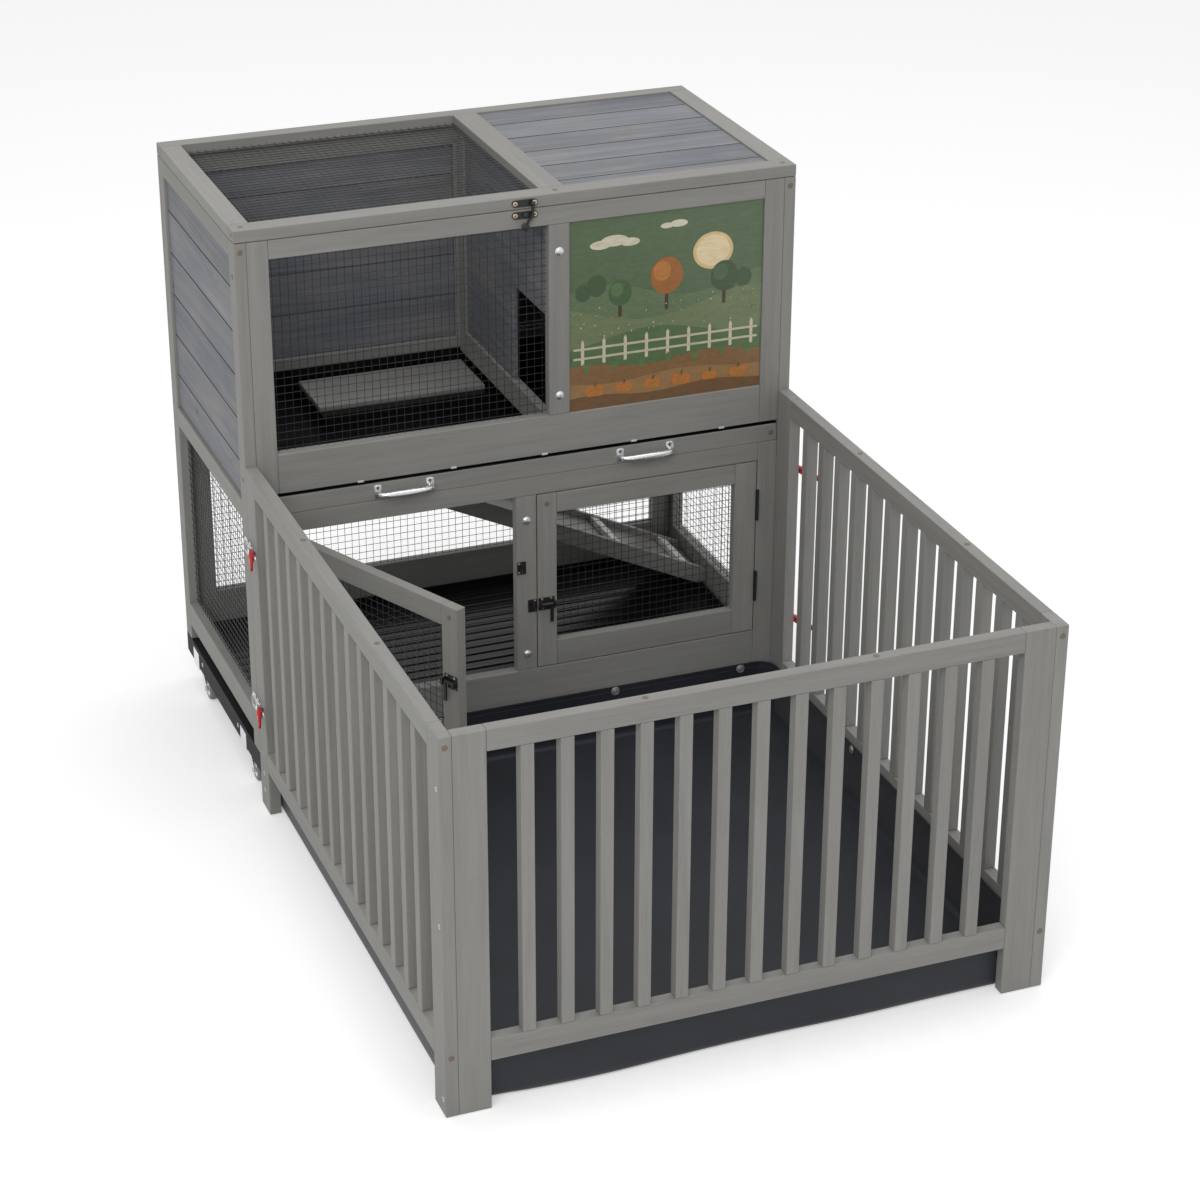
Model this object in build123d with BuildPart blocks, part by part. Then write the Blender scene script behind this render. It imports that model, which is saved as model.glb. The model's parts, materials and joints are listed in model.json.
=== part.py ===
from build123d import *
from math import cos, hypot, radians, sin
import os

os.makedirs("parts", exist_ok=True)

# Two-storey hutch on casters with a slatted run in front of it.
# Millimetres. X runs along the hutch's front, -Y points out of the front, Z is up.
# The origin is on the floor, in the middle of the whole footprint.

# Hutch, overall
hutch_width = 915.0
hutch_depth = 470.0
board = 19.0
underside_height = 54.0
base_strip_height = 35.0
base_strip_width = 35.0
frame_height = 857.5
lid_gap = 1.0
joint_gap = 0.2
fit_gap = 0.3

# Side frames
side_stile = 33.0
side_top_rail = 28.0
side_middle_rail = 33.0
lower_storey_height = 397.5
tray_slot_height = 27.0
side_bottom_rail = 42.0

# Wall planks
plank_thickness = 8.0
plank_recess = 5.0
wall_plank_pitch = 71.0
first_plank_height = 56.5
plank_gap = 1.2

# Upper front frame
front_stile = 33.5
front_top_rail = 30.0
front_deep_rail = 65.0
middle_stile = 34.5
middle_stile_x = 57.75
picture_recess = 4.0
picture_thickness = 6.0

# Lower front frame
lower_front_height = 410.0
lower_front_top_rail = 32.0
lower_front_bottom_rail = 66.0
centre_stile = 34.0

# Rear wall
rear_stile = 33.0
rear_centre_stile = 21.0
rear_centre_x = 48.5
rear_top_rail = 33.0
rear_upper_rail = 20.0
rear_upper_rail_rise = 33.0
rear_bottom_rail = 76.0

# Nets
net_pitch = 25.4
coarse_net_pitch = 31.75
net_wire = 2.0
net_thickness = 1.0
net_recess = 13.0

# Lid
lid_thickness = 19.0
lid_front_rail = 34.0
lid_rear_rail = 27.0
lid_side_rail = 33.0
lid_middle_rail = 41.0
lid_middle_x = 57.0
lid_plank_pitch = 77.0
lid_first_plank = 32.0
lid_plank_recess = 3.0

# Lid hinges
hinge_knuckle_radius = 3.0
hinge_leaf_thickness = 1.2
hinge_pin_radius = 1.3
hinge_bore_gap = 0.2
lid_hinge_x = 290.0
lid_hinge_length = 60.0
lid_leaf_height = 15.0

# Hook latch on the lid
latch_plate_length = 41.7
latch_plate_height = 11.0
latch_plate_thickness = 2.0
latch_x = 1.25
latch_screw_spread = 31.7
catch_drop = 19.0
hook_x = 12.0
hook_arm_width = 4.4
hook_thickness = 2.2
hook_knob_radius = 6.0
hook_knob_drop = 36.0
hook_knob_x = -0.3
catch_boss_radius = 4.6
catch_boss_height = 3.4
catch_boss_x = 2.0

# Inset doors
door_gap = 1.5
door_thickness = 17.0
door_free_stile = 33.5
door_hinge_stile = 38.5
door_top_rail = 35.0
door_bottom_rail = 44.0
left_door_opening = 64.7
door_knuckle_radius = 2.8
door_leaf_thickness = 0.55
door_leaf_depth = 14.0
door_hinge_height = 54.0
door_hinge_low = 57.0
door_hinge_high = 205.0

# Slide bolts
bolt_case_length = 27.5
bolt_case_height = 22.0
bolt_edge_gap = 1.25
bolt_plate_thickness = 1.2
bolt_loop_length = 3.5
bolt_loop_height = 11.0
bolt_loop_stand = 8.7
bolt_rod_radius = 3.0
bolt_rod_gap = 0.3
bolt_handle_width = 4.8
bolt_handle_drop = 31.5
bolt_handle_thickness = 3.0
bolt_travel = 13.5
keeper_length = 15.0
left_bolt_rise = 185.0
right_bolt_rise = 114.5

# Upper tray
tray_rise = 0.4
tray_front_height = 29.4
tray_side_gap = 1.2
tray_wall = 2.5
tray_rim_height = 30.0
tray_body_gap = 2.5
hatch_left_x = -243.0
hatch_right_x = 40.0
hatch_depth = 158.0
hatch_rim_height = 24.5
hatch_front_rim_height = 32.5
hatch_ledge = 38.0
hatch_cover_depth = 126.0
hatch_cover_thickness = 9.0
hatch_cover_overhang = 3.0
hatch_board_gap = 0.4
runner_width = 20.0
runner_height = 12.0
passing_gap = 6.0

# Pull handles
handle_x = 204.0
handle_span = 86.0
handle_bar_length = 62.0
handle_bar_radius = 4.0
handle_stand = 19.0
handle_drop = 3.0
handle_leg = 5.0
handle_bend_radius = 5.5
handle_plate_width = 11.0
handle_plate_height = 22.0
handle_plate_thickness = 1.5
handle_screw_spread = 11.0

# Partition in the upper storey
partition_thickness = 15.0
partition_x = 44.5
partition_rail = 43.0
partition_stile = 32.0
partition_lift = 12.5
partition_panel_thickness = 8.0
partition_door_depth = 168.0
partition_door_height = 165.0

# Ramp
ramp_width = 130.0
ramp_front_offset = 280.0
ramp_slope = 25.2
ramp_head_x = -290.0
ramp_foot_rise = 25.2
ramp_side_height = 30.0
ramp_side_thickness = 10.0
ramp_board_thickness = 8.0
cleat_pitch = 142.0
cleat_foot = 45.0
cleat_width = 18.0
cleat_height = 9.0
ledger_width = 18.0
ledger_height = 26.0

# Lower tray
lower_tray_recess = 15.0
lower_tray_front_thickness = 12.0
lower_tray_floor_rise = 10.0
lower_tray_side_gap = 1.0
lower_tray_lift = 4.0
lower_tray_end_gap = 8.0
lower_runner_width = 26.0
lower_runner_height = 12.0

# Casters
wheel_radius = 20.0
wheel_width = 15.0
caster_front_y = 100.0
caster_rear_y = 405.0
caster_inset = 16.5
caster_trail = 28.0
caster_plate_size = 35.0
caster_plate_thickness = 2.0
caster_side_height = 30.0
caster_side_thickness = 1.5
bearing_radius = 11.0
bearing_height = 2.0
kingpin_radius = 4.0
kingpin_head_radius = 6.0
kingpin_head_height = 2.0
fork_thickness = 2.5
fork_cheek_gap = 1.0
fork_plate_radius = 12.5
axle_radius = 2.5
axle_end_radius = 6.5

# Run
run_length = 928.0
fence_height = 587.0
fence_post = 47.0
fence_top_rail = 32.0
fence_bottom_rail = 34.5
fence_bottom_rail_height = 77.5
slat_width = 19.0
slat_count = 13
run_gap = 0.5

# Floor mat
mat_height = 97.0
mat_wall = 3.0
mat_floor = 2.5
mat_gap = 0.4
mat_corner_radius = 30.0

# Toggle latches
toggle_low_height = 185.0
toggle_high_height = 457.0
toggle_plate_height = 16.0
toggle_plate_thickness = 1.2
toggle_base_length = 40.0
toggle_base_inset = 4.0
toggle_catch_length = 17.0
toggle_catch_inset = 1.5
toggle_pivot_y = -22.0
toggle_pivot_stand = 5.0
toggle_pivot_radius = 1.3
toggle_throw = 7.0
toggle_ear_thickness = 1.4
toggle_ear_length = 10.0
toggle_ear_stand = 7.2
toggle_lever_width = 10.0
toggle_boss_radius = 3.2
toggle_grip_length = 56.0
toggle_grip_width = 12.0
toggle_grip_rise = 15.0
toggle_grip_root = 8.0
toggle_grip_tip = 6.0
bail_wire = 2.0
bail_side_gap = 0.5
bail_reach = 7.5
bail_bore_gap = 0.35
catch_upstand_thickness = 1.7
catch_upstand_height = 6.0
catch_bar_gap = 1.3

# Small fittings
corner_screw_levels = (508.0, 300.0, 25.0)
joint_screw_levels = (65.0, 34.5)
strip_screw_depths = (136.0, 367.0)
upper_bolt_drop = 44.5
upper_bolt_rise = 32.5
lower_bolt_drop = 43.0
lower_bolt_rise = 29.0
rear_snap_x = (-381.6, -154.0, 154.0, 381.6)
side_snap_depths = (328.0, 640.0)
snap_edge = 1.0
bolt_head_radius = 6.0
bolt_head_height = 3.5
snap_radius = 7.5
snap_height = 2.5
plug_radius = 4.5
plug_proud = 0.4
plug_slats = (4, 10)
screw_radius = 4.0
screw_proud = 1.0
tack_length = 9.0
tack_height = 2.0
tack_proud = 0.8
tack_pitch = 153.0
tack_count = 5
tack_shift = 32.0

# Derived places
half_width = hutch_width / 2
inner_half = half_width - board
rear_proud = 2 * hinge_knuckle_radius + fit_gap
front_y = (run_length + plug_proud - hutch_depth - rear_proud) / 2
back_y = front_y + hutch_depth
rear_inner_y = back_y - board
front_inner_y = front_y + board
run_front_y = front_y - run_length
base_z = underside_height + base_strip_height
frame_top = base_z + frame_height
lid_bottom = frame_top + lid_gap
lid_top = lid_bottom + lid_thickness
hinge_z = frame_top + lid_gap / 2
side_opening_top = frame_top - side_top_rail
middle_rail_z = base_z + lower_storey_height
middle_rail_top = middle_rail_z + side_middle_rail
slot_top = base_z + tray_slot_height
side_bottom_top = slot_top + side_bottom_rail
tray_level = base_z + lower_front_height
tray_bottom = tray_level + tray_rise
tray_front_top = tray_bottom + tray_front_height
upper_front_z = tray_front_top + passing_gap
window_bottom = upper_front_z + front_deep_rail
window_top = frame_top - front_top_rail
frame_span = inner_half - joint_gap
opening_half = inner_half - front_stile
doorway_bottom = base_z + lower_front_bottom_rail
doorway_top = tray_level - lower_front_top_rail
partition_z = upper_front_z + partition_lift

# Planks in the side walls hang from the top rail, the last one is cut to what is left.
wall_edges = [side_opening_top - fit_gap, side_opening_top - first_plank_height]
while wall_edges[-1] - wall_plank_pitch > middle_rail_top + wall_plank_pitch / 4:
    wall_edges.append(wall_edges[-1] - wall_plank_pitch)
wall_edges.append(middle_rail_top + fit_gap)


def rectangles(boxes):
    """Fills the open sketch with rectangles given by their edges."""
    for low_a, high_a, low_b, high_b in boxes:
        with Locations(((low_a + high_a) / 2, (low_b + high_b) / 2)):
            Rectangle(high_a - low_a, high_b - low_b)


def net(low_a, high_a, low_b, high_b, pitch):
    """Fills the open sketch with a square net that ends a fit gap inside the given edges."""
    width = high_a - low_a - 2 * fit_gap
    height = high_b - low_b - 2 * fit_gap
    columns = int((width - net_wire) // pitch)
    rows = int((height - net_wire) // pitch)
    with Locations(((low_a + high_a) / 2, (low_b + high_b) / 2)):
        Rectangle(width, height)
        with GridLocations(pitch, pitch, columns, rows):
            Rectangle(pitch - net_wire, pitch - net_wire, mode=Mode.SUBTRACT)


def facing_front(y):
    """Vertical plane at y; its sketch has x and z, and it extrudes towards the front."""
    return Plane.XZ.offset(-y)


def facing_side(x):
    """Vertical plane at x; its sketch has y and z, and it extrudes towards +X."""
    return Plane.YZ.offset(x)


# Side frames: five members each, with glue-line gaps where they butt
with BuildPart() as side_frame_left:
    with BuildSketch(facing_side(-half_width)):
        rectangles([
            (front_y, front_y + side_stile, base_z, frame_top),
            (back_y - side_stile, back_y, base_z, frame_top),
        ])
        low_y = front_y + side_stile + joint_gap
        high_y = back_y - side_stile - joint_gap
        rectangles([
            (low_y, high_y, side_opening_top, frame_top),
            (low_y, high_y, middle_rail_z, middle_rail_top),
            (low_y, high_y, slot_top, side_bottom_top),
        ])
    extrude(amount=board)
side_frame_left.part.label = "side_frame_left"

with BuildPart() as side_frame_right:
    with BuildSketch(facing_side(inner_half)):
        rectangles([
            (front_y, front_y + side_stile, base_z, frame_top),
            (back_y - side_stile, back_y, base_z, frame_top),
            (low_y, high_y, side_opening_top, frame_top),
            (low_y, high_y, middle_rail_z, middle_rail_top),
            (low_y, high_y, base_z, side_bottom_top),
        ])
    extrude(amount=board)
side_frame_right.part.label = "side_frame_right"

# Upper front frame
middle_left = middle_stile_x - middle_stile / 2
middle_right = middle_stile_x + middle_stile / 2
with BuildPart() as front_frame_upper:
    with BuildSketch(facing_front(front_inner_y)):
        rectangles([
            (-frame_span, -opening_half, upper_front_z, frame_top),
            (opening_half, frame_span, upper_front_z, frame_top),
            (-opening_half + joint_gap, opening_half - joint_gap, window_top, frame_top),
            (-opening_half + joint_gap, opening_half - joint_gap, upper_front_z, window_bottom),
            (middle_left, middle_right, window_bottom + joint_gap, window_top - joint_gap),
        ])
    extrude(amount=board)
front_frame_upper.part.label = "front_frame_upper"

# Panel in the right window of the upper front frame
with BuildPart() as picture_panel:
    with BuildSketch(facing_front(front_y + picture_recess + picture_thickness)):
        rectangles([(
            middle_right + fit_gap,
            opening_half - fit_gap,
            window_bottom + fit_gap,
            window_top - fit_gap,
        )])
    extrude(amount=picture_thickness)
picture_panel.part.label = "picture_panel"

# Wire mesh of the upper left window
with BuildPart() as mesh_upper_window:
    with BuildSketch(facing_front(front_y + net_recess + net_thickness)):
        net(-opening_half, middle_left, window_bottom, window_top, net_pitch)
    extrude(amount=net_thickness)
mesh_upper_window.part.label = "mesh_upper_window"

# Lower front frame with two doorways
with BuildPart() as front_frame_lower:
    with BuildSketch(facing_front(front_inner_y)):
        rectangles([
            (-frame_span, -opening_half, base_z, tray_level),
            (opening_half, frame_span, base_z, tray_level),
            (-opening_half + joint_gap, opening_half - joint_gap, doorway_top, tray_level),
            (-opening_half + joint_gap, opening_half - joint_gap, base_z, doorway_bottom),
            (-centre_stile / 2, centre_stile / 2, doorway_bottom + joint_gap, doorway_top - joint_gap),
        ])
    extrude(amount=board)
front_frame_lower.part.label = "front_frame_lower"

# Rear wall: planks above, one wide mesh window below
rear_opening = inner_half - rear_stile
rear_upper_z = middle_rail_top + rear_upper_rail_rise
rear_upper_top = rear_upper_z + rear_upper_rail
rear_window_bottom = base_z + rear_bottom_rail
rear_centre_left = rear_centre_x - rear_centre_stile / 2
rear_centre_right = rear_centre_x + rear_centre_stile / 2
rear_window_top = frame_top - rear_top_rail
with BuildPart() as rear_frame:
    with BuildSketch(facing_front(back_y)):
        rectangles([
            (-frame_span, -rear_opening, base_z, frame_top),
            (rear_opening, frame_span, base_z, frame_top),
            (-rear_opening + joint_gap, rear_opening - joint_gap, rear_window_top, frame_top),
            (-rear_opening + joint_gap, rear_opening - joint_gap, rear_upper_z, rear_upper_top),
            (-rear_opening + joint_gap, rear_opening - joint_gap, middle_rail_z, middle_rail_top),
            (-rear_opening + joint_gap, rear_opening - joint_gap, base_z, rear_window_bottom),
            (rear_centre_left, rear_centre_right, rear_upper_top + joint_gap, rear_window_top - joint_gap),
        ])
    extrude(amount=board)
rear_frame.part.label = "rear_frame"

rear_edges = [rear_window_top - fit_gap, side_opening_top - first_plank_height]
while rear_edges[-1] - wall_plank_pitch > rear_upper_top + wall_plank_pitch / 4:
    rear_edges.append(rear_edges[-1] - wall_plank_pitch)
rear_edges.append(rear_upper_top + fit_gap)

# Planks of the side walls and of the rear wall
with BuildPart() as wall_planks:
    for plank_face in (-half_width + plank_recess, half_width - plank_recess - plank_thickness):
        with BuildSketch(facing_side(plank_face)):
            for upper, lower in zip(wall_edges, wall_edges[1:]):
                rectangles([(low_y + joint_gap, high_y - joint_gap, lower + plank_gap, upper)])
        extrude(amount=plank_thickness)
    with BuildSketch(facing_front(back_y - plank_recess)):
        for upper, lower in zip(rear_edges, rear_edges[1:]):
            rectangles([
                (-rear_opening + fit_gap, rear_centre_left - fit_gap, lower + plank_gap, upper),
                (rear_centre_right + fit_gap, rear_opening - fit_gap, lower + plank_gap, upper),
            ])
    extrude(amount=plank_thickness)
    # A thin fillet board closes the strip between the two upper rear rails.
    with BuildSketch(facing_front(back_y - plank_recess)):
        rectangles([(
            -rear_opening + fit_gap,
            rear_opening - fit_gap,
            middle_rail_top + fit_gap,
            rear_upper_z - fit_gap,
        )])
    extrude(amount=plank_thickness)
wall_planks.part.label = "wall_planks"

# Wire mesh in the lower half of the sides and of the rear wall
with BuildPart() as mesh_sides:
    for net_face in (-half_width + net_recess, half_width - net_recess - net_thickness):
        with BuildSketch(facing_side(net_face)):
            net(
                front_y + side_stile,
                back_y - side_stile,
                side_bottom_top,
                middle_rail_z,
                coarse_net_pitch,
            )
        extrude(amount=net_thickness)
mesh_sides.part.label = "mesh_sides"

with BuildPart() as mesh_rear:
    with BuildSketch(facing_front(back_y - net_recess)):
        net(-rear_opening, rear_opening, rear_window_bottom, middle_rail_z, coarse_net_pitch)
    extrude(amount=net_thickness)
mesh_rear.part.label = "mesh_rear"

# Partition across the upper storey, with a doorway at its front end
partition_front = front_inner_y + fit_gap
partition_back = rear_inner_y - fit_gap
partition_top = frame_top - fit_gap
partition_sill = partition_z + partition_rail
partition_head = partition_sill + partition_door_height
partition_panel_x = partition_x + (partition_thickness - partition_panel_thickness) / 2
with BuildPart() as partition:
    with BuildSketch(facing_side(partition_x)):
        rectangles([
            (partition_front, partition_back, partition_z, partition_sill),
            (
                partition_back - partition_stile,
                partition_back,
                partition_sill + joint_gap,
                partition_top,
            ),
        ])
    extrude(amount=partition_thickness)
    with BuildSketch(facing_side(partition_panel_x)):
        panel_back = partition_back - partition_stile - joint_gap
        door_back = partition_front + partition_door_depth
        panel_bottom = partition_sill + joint_gap
        with BuildLine():
            Polyline(
                (door_back, panel_bottom),
                (panel_back, panel_bottom),
                (panel_back, partition_top),
                (partition_front, partition_top),
                (partition_front, partition_head),
                (door_back, partition_head),
                close=True,
            )
        make_face()
    extrude(amount=partition_panel_thickness)
partition.part.label = "partition"

# Runners that carry the two trays, and the ledger that carries the ramp's head
runner_front = front_inner_y + joint_gap
runner_back = rear_inner_y - joint_gap
lower_tray_bottom = base_z + lower_tray_lift
with BuildPart() as tray_runners:
    with BuildSketch(facing_front(runner_back)):
        rectangles([
            (-frame_span, -frame_span + runner_width, tray_level - runner_height, tray_level),
            (frame_span - runner_width, frame_span, tray_level - runner_height, tray_level),
            (
                ramp_head_x - ledger_width,
                ramp_head_x,
                tray_level - ledger_height,
                tray_level,
            ),
        ])
    extrude(amount=runner_back - runner_front)
    with BuildSketch(facing_side(-frame_span)):
        rectangles([
            (
                runner_front,
                runner_front + lower_runner_width,
                lower_tray_bottom - lower_runner_height,
                lower_tray_bottom - fit_gap,
            ),
            (
                runner_back - lower_runner_width,
                runner_back,
                lower_tray_bottom - lower_runner_height,
                lower_tray_bottom - fit_gap,
            ),
        ])
    extrude(amount=2 * frame_span)
tray_runners.part.label = "tray_runners"

# Ramp: a sloping board between two side rails, with cleats across
# Its head leans on the ledger, its foot on the right side frame's bottom rail.
slope = radians(ramp_slope)
ramp_near = front_y + ramp_front_offset
ramp_far = ramp_near + ramp_width
foot_x = frame_span
foot_top = slot_top + ramp_foot_rise
head_top = foot_top + (foot_x - ramp_head_x - joint_gap) * sin(slope) / cos(slope)
head_x = ramp_head_x + joint_gap
rail_drop = ramp_side_height / cos(slope)
board_drop = ramp_board_thickness / cos(slope)
board_lower = (ramp_side_height - ramp_board_thickness) / 2 / cos(slope)
foot_cut = slot_top + fit_gap
cut_x = foot_x - max(foot_cut - foot_top + rail_drop, joint_gap) * cos(slope) / sin(slope)
with BuildPart() as ramp:
    for rail_back in (ramp_near + ramp_side_thickness, ramp_far):
        with BuildSketch(facing_front(rail_back)):
            with BuildLine():
                Polyline(
                    (head_x, head_top),
                    (foot_x, foot_top),
                    (foot_x, foot_cut),
                    (cut_x, foot_cut),
                    (head_x, head_top - rail_drop),
                    close=True,
                )
            make_face()
        extrude(amount=ramp_side_thickness)
    board_back = ramp_far - ramp_side_thickness - joint_gap
    board_length = ramp_width - 2 * ramp_side_thickness - 2 * joint_gap
    with BuildSketch(facing_front(board_back)):
        with BuildLine():
            Polyline(
                (head_x, head_top - board_lower),
                (foot_x, foot_top - board_lower),
                (foot_x, foot_top - board_lower - board_drop),
                (head_x, head_top - board_lower - board_drop),
                close=True,
            )
        make_face()
    extrude(amount=board_length)
    run_along = hypot(foot_x - head_x, head_top - foot_top)
    cleat_count = int((run_along - cleat_foot) // cleat_pitch) + 1
    for step in range(cleat_count):
        along = cleat_foot + step * cleat_pitch
        cleat_x = foot_x - along * cos(slope)
        cleat_z = foot_top - board_lower + along * sin(slope) + joint_gap
        with BuildSketch(facing_front(board_back)):
            with Locations(Location((cleat_x, cleat_z), -ramp_slope)):
                Rectangle(cleat_width, cleat_height, align=(Align.CENTER, Align.MIN))
        extrude(amount=board_length)
ramp.part.label = "ramp"

# Base strips under the hutch
with BuildPart() as base_strips:
    with BuildSketch(Plane.XY.offset(underside_height)):
        for side in (-1, 1):
            edge = sorted((side * half_width, side * (half_width - base_strip_width)))
            rectangles([(edge[0], edge[1], front_y, back_y)])
        cross = half_width - base_strip_width - joint_gap
        rectangles([
            (-cross, cross, front_y, front_y + base_strip_width),
            (-cross, cross, back_y - base_strip_width, back_y),
        ])
    extrude(amount=base_strip_height)
    # The cross strips are rebated for the lower runners.
    with BuildSketch(facing_side(-frame_span - fit_gap)):
        rectangles([
            (
                runner_front - fit_gap,
                runner_front + lower_runner_width + fit_gap,
                lower_tray_bottom - lower_runner_height - fit_gap,
                base_z,
            ),
            (
                runner_back - lower_runner_width - fit_gap,
                runner_back + fit_gap,
                lower_tray_bottom - lower_runner_height - fit_gap,
                base_z,
            ),
        ])
    extrude(amount=2 * (frame_span + fit_gap), mode=Mode.SUBTRACT)
base_strips.part.label = "base_strips"

# Casters: angle plates on the base strips, swivelling forks and wheels
caster_x = half_width - caster_inset
caster_spots = [
    (side * caster_x, front_y + spot, side) for side in (-1, 1) for spot in (caster_front_y, caster_rear_y)
]
plate_bottom = underside_height - caster_plate_thickness
bearing_bottom = plate_bottom - bearing_height
fork_top = bearing_bottom - fit_gap
fork_bottom = fork_top - fork_thickness
with BuildPart() as caster_plates:
    for x, y, side in caster_spots:
        inner = side * (half_width - base_strip_width)
        outer = side * (half_width + caster_side_thickness)
        flange = sorted((inner, outer))
        upright = sorted((side * half_width, outer))
        with BuildSketch(Plane.XY.offset(plate_bottom)):
            rectangles([(flange[0], flange[1], y - caster_plate_size / 2, y + caster_plate_size / 2)])
        extrude(amount=caster_plate_thickness)
        with BuildSketch(Plane.XY.offset(plate_bottom)):
            rectangles([(upright[0], upright[1], y - caster_plate_size / 2, y + caster_plate_size / 2)])
        extrude(amount=caster_side_height)
        with BuildSketch(Plane.XY.offset(bearing_bottom)):
            with Locations((x, y)):
                Circle(bearing_radius)
        extrude(amount=bearing_height)
        with BuildSketch(Plane.XY.offset(fork_bottom - fit_gap)):
            with Locations((x, y)):
                Circle(kingpin_radius)
        extrude(amount=bearing_bottom - fork_bottom + fit_gap)
        with BuildSketch(Plane.XY.offset(fork_bottom - fit_gap - kingpin_head_height)):
            with Locations((x, y)):
                Circle(kingpin_head_radius)
        extrude(amount=kingpin_head_height)
caster_plates.part.label = "caster_plates"

cheek_inner = wheel_width / 2 + fork_cheek_gap
cheek_outer = cheek_inner + fork_thickness
caster_forks = []
caster_wheels = []
for number, (x, y, side) in enumerate(caster_spots, 1):
    axle_y = y - caster_trail
    with BuildPart() as caster_fork:
        with BuildSketch(Plane.XY.offset(fork_bottom)):
            with Locations((x, y)):
                Circle(fork_plate_radius)
                Circle(kingpin_radius + fit_gap, mode=Mode.SUBTRACT)
        extrude(amount=fork_thickness)
        for start in (x - cheek_outer, x + cheek_inner):
            with BuildSketch(facing_side(start)):
                with BuildLine():
                    Polyline(
                        (y - fork_plate_radius, fork_top),
                        (y + fork_plate_radius * 0.5, fork_top),
                        (axle_y + axle_end_radius * 0.9, wheel_radius - axle_end_radius * 0.4),
                        (axle_y - axle_end_radius * 0.9, wheel_radius + axle_end_radius * 0.4),
                        close=True,
                    )
                make_face()
                with Locations((axle_y, wheel_radius)):
                    Circle(axle_end_radius)
            extrude(amount=fork_thickness)
        with BuildSketch(facing_side(x - cheek_outer)):
            with Locations((axle_y, wheel_radius)):
                Circle(axle_radius)
        extrude(amount=2 * cheek_outer)
    caster_fork.part.label = f"caster_fork_{number}"
    caster_forks.append(caster_fork)
    with BuildPart() as caster_wheel:
        with BuildSketch(facing_side(x - wheel_width / 2)):
            with Locations((axle_y, wheel_radius)):
                Circle(wheel_radius)
                Circle(axle_radius + fit_gap, mode=Mode.SUBTRACT)
        extrude(amount=wheel_width)
        rims = caster_wheel.edges().filter_by(GeomType.CIRCLE).sort_by(SortBy.RADIUS)[-2:]
        fillet(rims, radius=wheel_width / 6)
    caster_wheel.part.label = f"caster_wheel_{number}"
    caster_wheels.append(caster_wheel)

# Lid: frame, wire mesh on the left, planks on the right
lid_rail_half = half_width - lid_side_rail
lid_open_front = front_y + lid_front_rail
lid_open_back = back_y - lid_rear_rail
lid_middle_left = lid_middle_x - lid_middle_rail / 2
lid_middle_right = lid_middle_x + lid_middle_rail / 2
with BuildPart() as lid_frame:
    with BuildSketch(Plane.XY.offset(lid_bottom)):
        rectangles([
            (-half_width, half_width, front_y, lid_open_front),
            (-half_width, half_width, lid_open_back, back_y),
            (-half_width, -lid_rail_half, lid_open_front + joint_gap, lid_open_back - joint_gap),
            (lid_rail_half, half_width, lid_open_front + joint_gap, lid_open_back - joint_gap),
            (lid_middle_left, lid_middle_right, lid_open_front + joint_gap, lid_open_back - joint_gap),
        ])
    extrude(amount=lid_thickness)
lid_frame.part.label = "lid_frame"

with BuildPart() as lid_mesh:
    with BuildSketch(Plane.XY.offset(lid_top - net_recess - net_thickness)):
        net(-lid_rail_half, lid_middle_left, lid_open_front, lid_open_back, net_pitch)
    extrude(amount=net_thickness)
lid_mesh.part.label = "lid_mesh"

lid_edges = [lid_open_front + fit_gap, lid_open_front + lid_first_plank]
while lid_edges[-1] + lid_plank_pitch < lid_open_back - lid_plank_pitch / 4:
    lid_edges.append(lid_edges[-1] + lid_plank_pitch)
lid_edges.append(lid_open_back - fit_gap + plank_gap)
with BuildPart() as lid_planks:
    with BuildSketch(Plane.XY.offset(lid_top - lid_plank_recess - plank_thickness)):
        for nearer, farther in zip(lid_edges, lid_edges[1:]):
            rectangles([(
                lid_middle_right + fit_gap,
                lid_rail_half - fit_gap,
                nearer,
                farther - plank_gap,
            )])
    extrude(amount=plank_thickness)
lid_planks.part.label = "lid_planks"

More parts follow.
